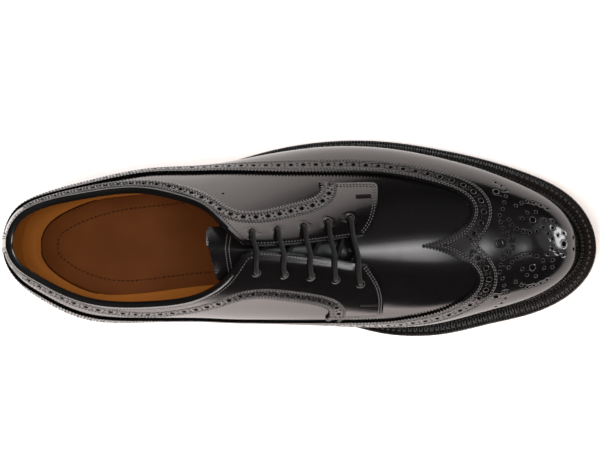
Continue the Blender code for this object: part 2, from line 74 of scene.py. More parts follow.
# One row for each section of the last, from the heel to the toe.
# share: place along the last.  feather, breadth and ridge_y: shares of its breadth.
# rise: height of the ridge above the feather.  shoulder: how far out the section stays.
SECTION_COLUMNS = ("share", "feather_out", "feather_in", "breadth_out", "breadth_in",
                   "ridge_y", "rise", "shoulder_out", "shoulder_in")
SECTIONS = (
    (0.000, 0.000, 0.000, 0.000, 0.000, 0.000, 0.960, 0.80, 0.80),
    (0.024, 0.188, 0.175, 0.207, 0.194, 0.015, 0.960, 0.80, 0.80),
    (0.065, 0.262, 0.255, 0.277, 0.292, 0.025, 0.962, 0.74, 0.70),
    (0.144, 0.315, 0.310, 0.348, 0.398, 0.015, 0.970, 0.58, 0.67),
    (0.246, 0.350, 0.290, 0.411, 0.405, -0.005, 0.988, 0.42, 0.71),
    (0.349, 0.400, 0.249, 0.432, 0.405, -0.021, 1.006, 0.36, 0.64),
    (0.451, 0.478, 0.259, 0.485, 0.412, -0.032, 0.955, 0.36, 0.58),
    (0.554, 0.526, 0.333, 0.530, 0.420, -0.032, 0.785, 0.50, 0.60),
    (0.656, 0.522, 0.392, 0.529, 0.425, -0.021, 0.640, 0.68, 0.70),
    (0.742, 0.480, 0.394, 0.488, 0.407, 0.000, 0.540, 0.78, 0.80),
    (0.827, 0.411, 0.333, 0.421, 0.345, 0.000, 0.459, 0.85, 0.88),
    (0.896, 0.331, 0.278, 0.340, 0.287, 0.000, 0.390, 0.90, 0.92),
    (0.950, 0.246, 0.207, 0.253, 0.215, 0.000, 0.302, 0.92, 0.94),
    (1.000, 0.000, 0.000, 0.000, 0.000, 0.000, 0.000, 0.92, 0.94),
)
ODD_AT_HEEL = ("feather_out", "feather_in", "breadth_out", "breadth_in", "ridge_y")
ODD_AT_TOE = ODD_AT_HEEL + ("rise",)
CONTROL_RISE = (0.0, 0.15, 0.42, 0.80, 1.0, 1.0)

# Soft creases: share and girth of the middle, spread along and round, height in millimetres.
CREASES = (
    (0.668, 0.030, 0.0085, 0.17, -0.05),
    (0.695, -0.040, 0.0095, 0.20, -0.06),
    (0.665, 0.360, 0.0090, 0.10, -0.14),
    (0.672, -0.420, 0.0100, 0.10, -0.16),
    (0.300, 0.640, 0.0300, 0.10, -0.25),
    (0.360, 0.600, 0.0220, 0.09, 0.18),
    (0.330, -0.640, 0.0280, 0.10, -0.28),
    (0.395, -0.600, 0.0240, 0.09, 0.16),
)

# Edge of the collar and throat, from the back seam to the vamp: share, outer and inner girth.
OPENING = (
    (0.000, 0.350, 0.350),
    (0.030, 0.385, 0.385),
    (0.070, 0.430, 0.420),
    (0.120, 0.460, 0.440),
    (0.190, 0.480, 0.455),
    (0.250, 0.470, 0.450),
    (0.310, 0.420, 0.420),
    (0.360, 0.340, 0.350),
    (0.400, 0.190, 0.230),
    (0.425, 0.080, 0.080),
    (0.445, 0.035, 0.015),
    (0.500, 0.050, 0.025),
    (0.570, 0.075, 0.062),
    (0.605, 0.085, 0.095),
)
THROAT_END = 0.618
THROAT_TOP = 0.432

# Edge of the wing from the back seam, over each side, to the peak on the ridge: share, girth.
WING_OUT = ((0.000, 0.560), (0.120, 0.612), (0.230, 0.655), (0.310, 0.658), (0.385, 0.622),
            (0.458, 0.564), (0.527, 0.516), (0.599, 0.474), (0.668, 0.436), (0.722, 0.398),
            (0.750, 0.375), (0.775, 0.350), (0.797, 0.315), (0.811, 0.265), (0.815, 0.208),
            (0.809, 0.152), (0.797, 0.101), (0.777, 0.055), (0.755, 0.022), (0.730, 0.0))
WING_IN = ((0.000, 0.560), (0.120, 0.610), (0.250, 0.660), (0.400, 0.672), (0.550, 0.655),
           (0.655, 0.615), (0.690, 0.585), (0.721, 0.552), (0.748, 0.522), (0.774, 0.478),
           (0.796, 0.418), (0.813, 0.350), (0.823, 0.283), (0.824, 0.217), (0.815, 0.157),
           (0.799, 0.101), (0.777, 0.056), (0.755, 0.024), (0.730, 0.0))

# Edge of each facing's tab, from the throat's foot round its front corner to the notch.
TAB_OUT = ((0.628, 0.090), (0.637, 0.125), (0.645, 0.177), (0.649, 0.245), (0.649, 0.330),
           (0.646, 0.378), (0.632, 0.393), (0.600, 0.403), (0.570, 0.418), (0.547, 0.440))
TAB_IN = ((0.633, 0.105), (0.644, 0.172), (0.652, 0.230), (0.657, 0.290), (0.659, 0.370),
          (0.657, 0.463), (0.653, 0.528), (0.640, 0.549), (0.614, 0.558), (0.580, 0.577),
          (0.553, 0.605))

# Edge of each collar band, from the notch to the heel.
BAND_OUT = ((0.547, 0.440), (0.551, 0.405), (0.549, 0.367), (0.537, 0.344), (0.519, 0.332),
            (0.500, 0.324), (0.481, 0.315), (0.460, 0.306), (0.441, 0.303), (0.421, 0.307),
            (0.406, 0.322), (0.389, 0.354), (0.372, 0.398), (0.352, 0.440), (0.331, 0.475),
            (0.288, 0.525), (0.244, 0.549), (0.200, 0.560), (0.150, 0.558), (0.080, 0.520),
            (0.030, 0.465))
BAND_IN = ((0.553, 0.605), (0.560, 0.560), (0.564, 0.515), (0.562, 0.475), (0.551, 0.446),
           (0.531, 0.423), (0.498, 0.400), (0.465, 0.381), (0.440, 0.377), (0.417, 0.394),
           (0.395, 0.430), (0.375, 0.460), (0.334, 0.512), (0.290, 0.553), (0.247, 0.570),
           (0.201, 0.553), (0.155, 0.527), (0.110, 0.508), (0.064, 0.488), (0.030, 0.462))

# Each edge of the tongue, from its free end to its seam: share, girth.
TONGUE_OUT = ((0.367, 0.240), (0.373, 0.250), (0.390, 0.255), (0.430, 0.262), (0.520, 0.285),
              (0.620, 0.330), (0.690, 0.320))
TONGUE_IN = ((0.384, 0.300), (0.389, 0.308), (0.400, 0.312), (0.430, 0.320), (0.520, 0.345),
             (0.620, 0.380), (0.690, 0.350))

# Eyelets from the top pair down: share and girth on the outer side, then on the inner side.
EYELETS = ((0.441, 0.160, 0.448, 0.180), (0.482, 0.170, 0.493, 0.195),
           (0.525, 0.180, 0.537, 0.207), (0.565, 0.187, 0.579, 0.224),
           (0.603, 0.196, 0.621, 0.250))

# The single small hole of the outer quarter: share, girth.
PINHOLE = (0.383, 0.450)

# One half of the toe's punched motif, in millimetres forward of and out from its heart.
MOTIF_CURLS = ((6.2, 2.2), (3.9, 4.8), (2.1, 7.6), (0.6, 10.5), (0.1, 14.0), (1.6, 17.2),
               (2.2, 20.6), (2.9, 23.8), (2.6, 26.9), (0.4, 29.3), (-2.6, 31.0),
               (8.2, 18.9), (11.0, 20.4), (14.0, 21.3), (17.3, 20.4), (20.8, 19.2), (24.0, 17.6),
               (4.7, 11.8), (6.5, 9.2), (8.9, 7.1), (12.0, 5.8), (15.4, 5.2), (18.9, 6.1),
               (22.2, 8.1), (22.6, 11.7), (26.7, 11.3), (26.8, 7.9), (24.6, 4.9), (26.6, 2.4),
               (29.4, 4.3), (32.2, 5.3), (14.0, 15.4), (18.4, 15.8), (11.6, 12.4))
MOTIF_RINGED = ((16.7, 11.7), (-2.2, 26.2))
MOTIF_CENTRE = ((0.0, 0.0), (32.2, 0.0))
MOTIF_HEART = (0.2211, 0.0015)

# The four corners of the whole surface, at the feather edge.
CORNERS = ((0, 1), (1, 1), (1, -1), (0, -1))

# Each bar tack's two ends: share, girth.
TACK_OUT = ((0.612, 0.312), (0.638, 0.306))
TACK_IN = ((0.618, 0.420), (0.648, 0.414))

# Where the sides' lean rises from the ridge, and where it falls towards the feather: girth.
LEAN_RISE, LEAN_FALL, LEAN_FADE = 0.12, 0.65, 0.25
# Where the lean of the wing's peak ends: share, its fade, and half its girth.
PEAK_SHARE, PEAK_FADE, PEAK_GIRTH = 0.81, 0.07, 0.24
# The band that is flattened along a line: its direction, weight, distance in and width.
FLAT_FACING, FLAT_WEIGHT = (0.33, -0.02, 0.94), 0.9
FLAT_INSET, FLAT_WIDTH = 2.6 * MM, 2.0 * MM

# The three holes of the motif on the steep front of the toe: share, girth.
MOTIF_TIP = ((0.990, 0.200), (0.990, -0.040), (0.995, 0.120))


class Side(Enum):
    """The two sides of the shoe, by the sign of their girth."""

    OUTER = 1
    INNER = -1


# How far past the feather edge, for each share of the length on one side.
Reach = Callable[[np.ndarray, Side], np.ndarray]


def unit(vectors: np.ndarray) -> np.ndarray:
    """Give vectors the length one."""
    return vectors / np.maximum(np.linalg.norm(vectors, axis=-1, keepdims=True), 1e-12)


def smoothstep(t: np.ndarray) -> np.ndarray:
    """Rise from 0 to 1 with level ends."""
    t = np.clip(t, 0.0, 1.0)
    return t * t * (3 - 2 * t)


def run_along(points: np.ndarray) -> np.ndarray:
    """Distance along a line of points, from its start to each."""
    return np.concatenate(([0.0], np.cumsum(np.linalg.norm(np.diff(points, axis=0), axis=1))))


def blend_at(at: np.ndarray, run: np.ndarray, rows: np.ndarray) -> np.ndarray:
    """Blend the rows of a line at places along its run."""
    return np.stack([np.interp(at, run, column) for column in rows.T], -1)


class Spline:
    """Natural cubic spline through knots.

    Between two knots the value is their straight blend plus two cubic terms, each weighted by
    the bend at its knot.  The bends come from matching slopes at every inner knot.
    """

    def __init__(self, knots: np.ndarray, values: np.ndarray) -> None:
        """Solve for the bends.

        Args:
            knots: Rising places of the knots.
            values: Value at each knot, or a row of values.
        """
        self.knots = np.asarray(knots, float)
        self.values = np.asarray(values, float)
        count = len(self.knots)
        self.step = np.diff(self.knots)
        matrix = np.eye(count)
        inner = np.arange(1, count - 1)
        matrix[inner, inner - 1] = self.step[:-1]
        matrix[inner, inner] = 2 * (self.step[:-1] + self.step[1:])
        matrix[inner, inner + 1] = self.step[1:]
        right = np.zeros_like(self.values)
        slopes = np.diff(self.values, axis=0) / self._wide(self.step)
        right[1:-1] = 6 * np.diff(slopes, axis=0)
        self.bend = np.linalg.solve(matrix, right)

    def _wide(self, factor: np.ndarray) -> np.ndarray:
        """Shape a factor so that it multiplies rows of values."""
        return factor.reshape(factor.shape + (1,) * (self.values.ndim - 1))

    def __call__(self, at: np.ndarray) -> np.ndarray:
        """Return the spline's value at each place."""
        at = np.asarray(at, float)
        k = np.clip(np.searchsorted(self.knots, at) - 1, 0, len(self.step) - 1)
        step = self.step[k]
        a = (self.knots[k + 1] - at) / step
        b = (at - self.knots[k]) / step
        low, high = (self._wide((c ** 3 - c) * step ** 2 / 6) for c in (a, b))
        return (self._wide(a) * self.values[k] + self._wide(b) * self.values[k + 1]
                + low * self.bend[k] + high * self.bend[k + 1])


def place_of(share: np.ndarray) -> np.ndarray:
    """Turn a share of the last's length into the surface's first number."""
    return np.arccos(1 - 2 * np.asarray(share, float)) / math.pi


def share_of(place: np.ndarray) -> np.ndarray:
    """Turn the surface's first number into a share of the last's length."""
    return (1 - np.cos(math.pi * np.asarray(place, float))) / 2


def spot(share: float, girth: float) -> tuple[float, float]:
    """Surface numbers of a single place."""
    return float(place_of(share)), girth


def section_splines() -> dict[str, Spline]:
    """Make each column of the sections a smooth curve, reflected at the heel and the toe.

    Returns:
        The curves by the columns' names.
    """
    table = np.array(SECTIONS)
    knots = place_of(table[:, 0])
    mirrored = 3
    splines = {}
    for index, name in enumerate(SECTION_COLUMNS[1:], start=1):
        values = table[:, index]
        heel_sign = -1 if name in ODD_AT_HEEL else 1
        toe_sign = -1 if name in ODD_AT_TOE else 1
        heel, toe = slice(mirrored, 0, -1), slice(-2, -2 - mirrored, -1)
        splines[name] = Spline(
            np.concatenate((-knots[heel], knots, 2 - knots[toe])),
            np.concatenate((heel_sign * values[heel], values, toe_sign * values[toe])))
    return splines


@dataclass(frozen=True)
class Last:
    """The form that the shoe is built on, as one surface of two numbers."""

    length: float = 0.2915
    breadth: float = 0.0945
    height: float = 0.0860
    back_x: float = -0.0306
    back_bulge: float = 0.0045
    back_lean: float = 0.0045
    back_height: float = 0.0645
    heel_height: float = 0.0215
    toe_spring: float = 0.0095
    feather_stack: float = 0.0120
    crown_share: float = 0.45
    breadth_at: float = 0.28
    seat_share: float = 0.092
    ball_share: float = 0.620
    tread_share: float = 0.735
    back_fade_share: float = 0.30
    columns: dict[str, Spline] = field(default_factory=section_splines)

    def sole_lift(self, x: np.ndarray) -> np.ndarray:
        """Height of the outsole's underside: down from the heel to the ball, then up to the toe."""
        share = (x - self.back_x) / self.length
        fall = (self.ball_share - share) / (self.ball_share - self.seat_share)
        toe = np.clip((share - self.tread_share) / (1 - self.tread_share), 0, None)
        return self.heel_height * smoothstep(fall) + self.toe_spring * toe ** 2

    def feather_height(self, x: np.ndarray) -> np.ndarray:
        """Height of the feather edge, a sole and a welt above the sole's underside."""
        return self.feather_stack + self.sole_lift(x)

    def point(self, flat: np.ndarray) -> np.ndarray:
        """Points of the last.

        Each section is a curve of six control points from the feather edge to the ridge, weighted
        by the terms of a fifth power.  Their heights are fixed shares of the ridge's rise, and
        their distances out are solved so that the section reaches its breadth.

        Args:
            flat: Surface numbers, the last axis of length two.

        Returns:
            Points with the same leading axes.
        """
        flat = np.asarray(flat, float)
        place, girth = flat[..., 0], flat[..., 1]
        share = share_of(place)
        column = {name: spline(place) for name, spline in self.columns.items()}
        outer = girth >= 0
        t = 1 - np.abs(girth)
        basis = [math.comb(5, k) * t ** k * (1 - t) ** (5 - k) for k in range(6)]
        at = self.breadth_at
        fixed = [math.comb(5, k) * at ** k * (1 - at) ** (5 - k) for k in range(6)]
        feather = self.breadth * np.where(outer, column["feather_out"], column["feather_in"])
        breadth = self.breadth * np.where(outer, column["breadth_out"], column["breadth_in"])
        shoulder = np.where(outer, column["shoulder_out"], column["shoulder_in"])
        sign = np.where(outer, 1.0, -1.0)
        ridge = sign * self.breadth * column["ridge_y"]
        reach = fixed[1] + fixed[2] + shoulder * (fixed[3] + self.crown_share * fixed[4])
        wide = (breadth - fixed[0] * feather - (fixed[4] + fixed[5]) * ridge) / reach
        crown = ridge + self.crown_share * shoulder * wide
        y = (basis[0] * feather + (basis[1] + basis[2]) * wide + basis[3] * shoulder * wide
             + basis[4] * crown + basis[5] * ridge)
        rise = self.height * column["rise"] * sum(b * c for b, c in zip(basis, CONTROL_RISE))
        h = rise / self.back_height
        back = self.back_lean * h ** 2 - self.back_bulge * np.sin(math.pi * np.clip(h, 0, 1))
        base_x = self.back_x + self.length * share
        x = base_x + back * (1 - smoothstep(share / self.back_fade_share))
        return np.stack((x, sign * y, self.feather_height(base_x) + rise), axis=-1)

    def tangents(self, flat: np.ndarray,
                 point: Surface | None = None) -> tuple[np.ndarray, np.ndarray]:
        """Slopes of the surface with each of its two numbers, by central differences.

        Args:
            flat: Surface numbers.
            point: Gives the points; the plain last does if it is left out.

        Returns:
            The slopes along the last and around it.
        """
        flat = np.asarray(flat, float)
        point = point or self.point
        small = 4e-4
        at = np.stack((np.clip(flat[..., 0], 0, 1 - 2 * small), flat[..., 1]), -1)
        along = point(at + (small, 0)) - point(at - (small, 0))
        around = point(at + (0, small)) - point(at - (0, small))
        return along / (2 * small), around / (2 * small)

    def normal(self, flat: np.ndarray, point: Surface | None = None) -> np.ndarray:
        """Outward directions, level along the feather edge and straight ahead at the toe tip.

        Args:
            flat: Surface numbers.
            point: Gives the points; the plain last does if it is left out.

        Returns:
            Directions of length one.
        """
        flat = np.asarray(flat, float)
        normal = np.cross(*self.tangents(flat, point))
        normal[flat[..., 0] <= 0, 1] = 0
        normal[flat[..., 0] >= 1 - 1e-6] = (1, 0, 0)
        normal[np.abs(flat[..., 1]) >= 1 - 1e-9, 2] = 0
        return unit(normal)

    def creases(self, flat: np.ndarray) -> np.ndarray:
        """Height of the creases: a sum of soft bells, each stretched along and round the last."""
        share = share_of(flat[..., 0])[..., None]
        rows = np.array(CREASES)
        along = (share - rows[:, 0]) / rows[:, 2]
        around = (flat[..., 1][..., None] - rows[:, 1]) / rows[:, 3]
        return (rows[:, 4] * MM * np.exp(-(along ** 2 + around ** 2) / 2)).sum(axis=-1)

    def creased(self, flat: np.ndarray) -> np.ndarray:
        """Points of the last moved along its normal by the creases."""
        return self.point(flat) + self.creases(flat)[..., None] * self.normal(flat)

    def layer(self, flat: np.ndarray, offset: float | np.ndarray) -> np.ndarray:
        """Points a given height above the last, whose feather edge stays on the feather.

        Args:
            flat: Surface numbers.
            offset: Height above the creased last.

        Returns:
            The points.
        """
        flat = np.asarray(flat, float)
        height = self.creases(flat) + offset
        points = self.point(flat) + height[..., None] * self.normal(flat)
        edge = np.abs(flat[..., 1]) >= 1 - 1e-9
        points[edge, 2] = self.feather_height(points[edge, 0])
        return points

    def sheen_normal(self, flat: np.ndarray) -> np.ndarray:
        """Outward directions of the creased surface, from the creased points' own slopes."""
        return self.normal(flat, self.creased)

    def leaning_normal(self, flat: np.ndarray, lean: dict[Side, float]) -> np.ndarray:
        """Outward directions turned towards the feather by each side's lean.

        The lean rises from nothing on the ridge and falls to nothing at the feather edge.  It sets
        where polished leather stops mirroring the dark room and mirrors the floor.

        Args:
            flat: Surface numbers.
            lean: The lean of each side, as a share of the direction's length.

        Returns:
            Directions of length one.
        """
        girth = flat[..., 1]
        down = unit(self.tangents(flat)[1]) * np.sign(girth)[..., None]
        amount = np.where(girth > 0, lean[Side.OUTER], lean[Side.INNER])
        away = np.abs(girth)
        amount = amount * smoothstep(away / LEAN_RISE) * (1 - smoothstep((away - LEAN_FALL) / LEAN_FADE))
        return unit(self.sheen_normal(flat) + amount[..., None] * down)

    def nudge(self, flat: np.ndarray, shift: np.ndarray) -> np.ndarray:
        """Move places on the last by small vectors that lie in its surface."""
        along, around = self.tangents(flat)
        aa, ab, bb = ((along * along).sum(-1), (along * around).sum(-1), (around * around).sum(-1))
        sa, sb = (along * shift).sum(-1), (around * shift).sum(-1)
        scale = aa * bb - ab * ab
        return flat + np.stack((bb * sa - ab * sb, aa * sb - ab * sa), -1) / scale[..., None]

    def spread(self, path: np.ndarray, pitch: float, ends: bool = True) -> np.ndarray:
        """Place points at an even pitch along a path.

        Args:
            path: Surface numbers along a line.
            pitch: Distance wanted between points.
            ends: Whether the path's ends are points, or lie half a pitch outside.

        Returns:
            Surface numbers of the points.
        """
        run = run_along(self.point(path))
        count = max(int(round(run[-1] / pitch)), 1)
        at = np.arange(count + 1) if ends else np.arange(count) + 0.5
        at = at * run[-1] / count
        return blend_at(at, run, path)

    def inset(self, path: np.ndarray, distance: float) -> np.ndarray:
        """Move a path over the surface to the left of its run, seen from outside the shoe.

        Args:
            path: Surface numbers along a line.
            distance: How far, to the right where it is negative.

        Returns:
            Surface numbers of the moved line.
        """
        steps = max(int(abs(distance) / (1.2 * MM)), 1)
        first = path[0, 0]
        for _ in range(steps):
            path = self.spread(path, 1.5 * MM)
            run = np.gradient(self.point(path), axis=0)
            left = unit(np.cross(self.normal(path), run))
            path = self.nudge(path, left * distance / steps)
            if first <= 0:
                path[0, 0] = 0.0
        return path

    def circles(self, centres: np.ndarray, radius: float, sides: int) -> np.ndarray:
        """Rings round each centre, in the plane that touches the last there.

        Args:
            centres: Surface numbers of the centres.
            radius: The rings' radius.
            sides: Points of each ring.

        Returns:
            Surface numbers, one row of points for each ring.
        """
        along, around = self.tangents(centres)
        first = unit(along)
        second = np.cross(unit(np.cross(along, around)), first)
        angles = 2 * math.pi * (np.arange(sides) + 0.5) / sides
        rim = radius * (np.cos(angles)[:, None] * first[:, None, :]
                        + np.sin(angles)[:, None] * second[:, None, :])
        wide = np.repeat(centres[:, None, :], sides, axis=1)
        return self.nudge(wide, rim)

    def under(self, plan: np.ndarray) -> np.ndarray:
        """Find the places of the last's top below points of the plan, by Newton's steps.

        Args:
            plan: Points of the plan.

        Returns:
            Surface numbers.
        """
        share = np.clip((plan[:, 0] - self.back_x) / self.length, 0.02, 0.985)
        flat = np.stack((place_of(share), 0.8 * plan[:, 1] / (self.breadth / 2)), -1)
        for _ in range(14):
            error = plan - self.point(flat)[:, :2]
            along, around = self.tangents(flat)
            slopes = np.stack((along[:, :2], around[:, :2]), -1)
            step = np.linalg.solve(slopes, error[..., None])[..., 0]
            flat = flat + np.clip(step, -0.05, 0.05)
            flat[:, 0] = np.clip(flat[:, 0], 0.01, 0.995)
            flat[:, 1] = np.clip(flat[:, 1], -0.95, 0.95)
        return flat


LAST = Last()


def smooth_path(rows: np.ndarray, start: float = 0.0, end: float | None = None,
                fineness: int = 24) -> np.ndarray:
    """Draw a smooth line through rows of share and girth.

    Args:
        rows: Share and girth at each knot.
        start: Knot to start from.
        end: Knot to end at, the last one if none is given.
        fineness: Points for each step between knots.

    Returns:
        Surface numbers along the line.
    """
    rows = np.asarray(rows, float)
    end = len(rows) - 1 if end is None else end
    knots = np.stack((place_of(rows[:, 0]), rows[:, 1]), -1)
    at = np.linspace(start, end, int(fineness * (end - start)) + 1)
    return Spline(np.arange(len(rows)), knots)(at)


def on_side(path: np.ndarray, side: Side) -> np.ndarray:
    """Turn a path that is written for positive girths to a side of the shoe."""
    return path * (1, side.value)


def opening_edge(side: Side) -> np.ndarray:
    """The collar and throat edge on one side, from the back seam to the throat's foot."""
    column = 1 if side is Side.OUTER else 2
    path = smooth_path([(row[0], row[column]) for row in OPENING], fineness=8)
    path[0, 0] = 0.0
    return on_side(path, side)


def eyelet_places(side: Side) -> np.ndarray:
    """Surface numbers of one side's eyelets, from the top down."""
    rows = np.array(EYELETS)
    share, girth = (rows[:, 0], rows[:, 1]) if side is Side.OUTER else (rows[:, 2], -rows[:, 3])
    return np.stack((place_of(share), girth), -1)


def pinked(path: np.ndarray, pitch: float, depth: float) -> np.ndarray:
    """Give a path saw teeth: every other point moves out and the rest move in.

    Args:
        path: Surface numbers along a line.
        pitch: Distance from tooth to tooth.
        depth: Height of a tooth.

    Returns:
        Surface numbers of the teeth's corners.
    """
    teeth = LAST.spread(path, pitch / 2)
    run = np.gradient(LAST.point(teeth), axis=0)
    right = unit(np.cross(run, LAST.normal(teeth)))
    swing = np.where(np.arange(len(teeth)) % 2, depth / 2, -depth / 2)
    swing[[0, -1]] = 0
    return LAST.nudge(teeth, right * swing[:, None])


def inside_outline(points: np.ndarray, outline: np.ndarray, block: int = 4000) -> np.ndarray:
    """Test which points lie in a closed outline, by counting the edges to their right.

    Args:
        points: Points, one row each.
        outline: Closed line.
        block: Points that are tested at once.

    Returns:
        True for each point inside.
    """
    x0, y0 = outline[:, 0], outline[:, 1]
    x1, y1 = np.roll(x0, -1), np.roll(y0, -1)
    rise = np.where(y1 == y0, 1.0, y1 - y0)
    inside = np.zeros(len(points), bool)
    for start in range(0, len(points), block):
        x, y = points[start:start + block, 0:1], points[start:start + block, 1:2]
        spans = (y0 > y) != (y1 > y)
        crossing = x0 + (y - y0) * (x1 - x0) / rise
        inside[start:start + block] = (spans & (x < crossing)).sum(axis=1) % 2 == 1
    return inside


def nearest(points: np.ndarray, targets: np.ndarray,
            block: int = 2000) -> tuple[np.ndarray, np.ndarray]:
    """Find the nearest target of each point.

    Args:
        points: Points, one row each.
        targets: Targets, one row each.
        block: Points that are compared at once.

    Returns:
        The distances, and the targets' numbers.
    """
    distance = np.empty(len(points))
    which = np.empty(len(points), int)
    squares = (targets ** 2).sum(-1)
    for start in range(0, len(points), block):
        some = points[start:start + block]
        gaps = squares - 2 * some @ targets.T
        best = gaps.argmin(axis=1)
        which[start:start + block] = best
        distance[start:start + block] = np.linalg.norm(some - targets[best], axis=1)
    return distance, which


@dataclass(frozen=True)
class Punch:
    """A size of punched hole, with the ring that the tool presses round it."""

    radius: float
    ring: float
    sides: int


LARGE_PUNCH = Punch(1.12 * MM, 0.62 * MM, 14)
RING_PUNCH = Punch(1.30 * MM, 0.75 * MM, 16)
MEDIUM_PUNCH = Punch(0.72 * MM, 0.40 * MM, 10)
SMALL_PUNCH = Punch(0.46 * MM, 0.30 * MM, 8)
EYELET_PUNCH = Punch(1.70 * MM, 0.80 * MM, 16)


@dataclass
class Patch:
    """A piece of the last's surface, cut into triangles."""

    flat: np.ndarray
    triangles: np.ndarray
    hole_gap: np.ndarray


def cut_patch(outline: np.ndarray, holes: list[tuple[np.ndarray, Punch]], spacing: float) -> Patch:
    """Cut the surface along an outline and round holes.

    A grid of both surface numbers fills the outline, and the triangles between it, the outline
    and the holes' rims are those whose circles hold no other point.

    Args:
        outline: Closed line of surface numbers.
        holes: Centres and their punch, for each size of hole.
        spacing: Distance wanted between points.

    Returns:
        The triangles inside the outline and clear of the holes.
    """
    scale = np.array((LAST.length, 0.110))
    outline = dense_outline(outline, spacing / scale)
    loops, cuts = [outline], [-1]
    for centres, punch in holes:
        rims = LAST.circles(centres, punch.radius, punch.sides)
        rings = LAST.circles(centres, punch.radius + punch.ring, punch.sides)
        first = max(cuts) + 1
        loops.extend(rims)
        cuts.extend(range(first, first + len(rims)))
        loops.extend(rings)
        cuts.extend([-1] * len(rings))
    fixed = np.concatenate(loops)
    step = spacing / scale
    axes = [np.linspace(low, 1, int((1 - low) / s) + 1) for low, s in zip((0, -1), step)]
    grid = np.stack(np.meshgrid(*axes, indexing="ij"), -1).reshape(-1, 2)
    grid = grid[inside_outline(grid, outline)]
    grid = grid[nearest(grid / step, fixed / step)[0] > 0.42]
    for centres, punch in holes:
        gap = nearest(LAST.point(grid), LAST.point(centres))[0]
        grid = grid[gap > punch.radius + punch.ring]
    counts = np.array([len(loop) for loop in loops])
    starts = np.concatenate(([0], np.cumsum(counts)[:-1]))
    here = np.arange(len(fixed))
    owner = np.repeat(np.arange(len(loops)), counts)
    after = np.where(here + 1 < starts[owner] + counts[owner], here + 1, starts[owner])
    cut_of = np.concatenate((np.array(cuts)[owner], np.full(len(grid), -1)))
    points = np.concatenate((fixed, grid)) * scale
    edges = np.stack((here, after), -1).tolist()
    made = delaunay_2d_cdt([Vector(point) for point in points.tolist()], edges, [], 0, 1e-9)
    flat = np.array([tuple(p) for p in made[0]]) / scale
    flat = np.clip(flat, (0, -1), (1, 1))
    triangles = np.array(made[2])
    source = np.array([ids[0] if ids else len(fixed) for ids in made[3]])
    cut = cut_of[source][triangles]
    in_hole = (cut[:, 0] >= 0) & (cut[:, 0] == cut[:, 1]) & (cut[:, 1] == cut[:, 2])
    keep = ~in_hole & inside_outline(flat[triangles].mean(axis=1), outline)
    triangles = triangles[keep]
    used, triangles = np.unique(triangles, return_inverse=True)
    flat = flat[used]
    hole_gap = np.full(len(flat), 1.0)
    for centres, punch in holes:
        gap = (nearest(LAST.point(flat), LAST.point(centres))[0] - punch.radius) / punch.ring
        hole_gap = np.minimum(hole_gap, np.clip(gap / 2, 0, 1))
    return Patch(flat, triangles.reshape(-1, 3), hole_gap)


def dense_outline(outline: np.ndarray, step: np.ndarray) -> np.ndarray:
    """Split the long edges of a closed outline so that none is longer than a step."""
    ends = np.roll(outline, -1, axis=0)
    counts = np.maximum(np.ceil(np.abs((ends - outline) / step).max(axis=1) - 0.01).astype(int), 1)
    owner = np.repeat(np.arange(len(outline)), counts)
    first = np.concatenate(([0], np.cumsum(counts)[:-1]))
    part = (np.arange(len(owner)) - first[owner]) / counts[owner]
    return outline[owner] + part[:, None] * (ends - outline)[owner]


def new_mesh(name: str, points: np.ndarray, faces: list[np.ndarray]) -> bpy.types.Mesh:
    """Put whole arrays of points and faces into a mesh.

    Args:
        name: Name of the mesh.
        points: Points, one row each.
        faces: Arrays of faces, each with its own number of corners.

    Returns:
        The mesh.
    """
    mesh = bpy.data.meshes.new(name)
    mesh.vertices.add(len(points))
    mesh.vertices.foreach_set("co", np.ascontiguousarray(points, np.float32).ravel())
    corners = np.concatenate([face.ravel() for face in faces]).astype(np.int32)
    sizes = np.concatenate([np.full(len(face), face.shape[1]) for face in faces])
    starts = np.concatenate(([0], np.cumsum(sizes)[:-1])).astype(np.int32)
    mesh.loops.add(len(corners))
    mesh.loops.foreach_set("vertex_index", corners)
    mesh.polygons.add(len(sizes))
    mesh.polygons.foreach_set("loop_start", starts)
    mesh.update(calc_edges=True)
    return mesh


def closed_mesh(name: str, made: Shape, angle: float) -> bpy.types.Mesh:
    """Make a closed mesh whose coinciding points become one and whose faces point outwards.

    Args:
        name: Name of the mesh.
        made: Its points and faces.
        angle: Edges sharper than this, in degrees, are shaded sharp.

    Returns:
        The mesh.
    """
    mesh = new_mesh(name, *made)
    shape = bmesh.new()
    shape.from_mesh(mesh)
    bmesh.ops.remove_doubles(shape, verts=shape.verts, dist=WELD)
    bmesh.ops.dissolve_degenerate(shape, edges=shape.edges, dist=WELD)
    bmesh.ops.recalc_face_normals(shape, faces=shape.faces)
    if shape.calc_volume(signed=True) < 0:
        bmesh.ops.reverse_faces(shape, faces=shape.faces)
    shape.to_mesh(mesh)
    shape.free()
    mesh.shade_smooth()
    mesh.set_sharp_from_angle(angle=math.radians(angle))
    return mesh


def read_rows(items: bpy.types.bpy_prop_collection, name: str) -> np.ndarray:
    """Read a vector of every item of a mesh, one row each."""
    values = np.empty(3 * len(items), np.float32)
    items.foreach_get(name, values)
    return values.reshape(-1, 3).astype(float)


def corner_points(mesh: bpy.types.Mesh) -> np.ndarray:
    """Read the number of the point at every corner of a mesh."""
    corners = np.empty(len(mesh.loops), np.int32)
    mesh.loops.foreach_get("vertex_index", corners)
    return corners


def set_run_map(mesh: bpy.types.Mesh, along: np.ndarray, turn: np.ndarray) -> None:
    """Store a thread's map for every corner: metres along it and turns round it."""
    uv = np.stack((along, turn), -1).astype(np.float32)
    mesh.uv_layers.new(name="run").data.foreach_set("uv", uv.ravel())


def set_attribute(mesh: bpy.types.Mesh, name: str, values: np.ndarray) -> None:
    """Store one number for each point of a mesh."""
    attribute = mesh.attributes.new(name, "FLOAT", "POINT")
    attribute.data.foreach_set("value", np.asarray(values, np.float32))


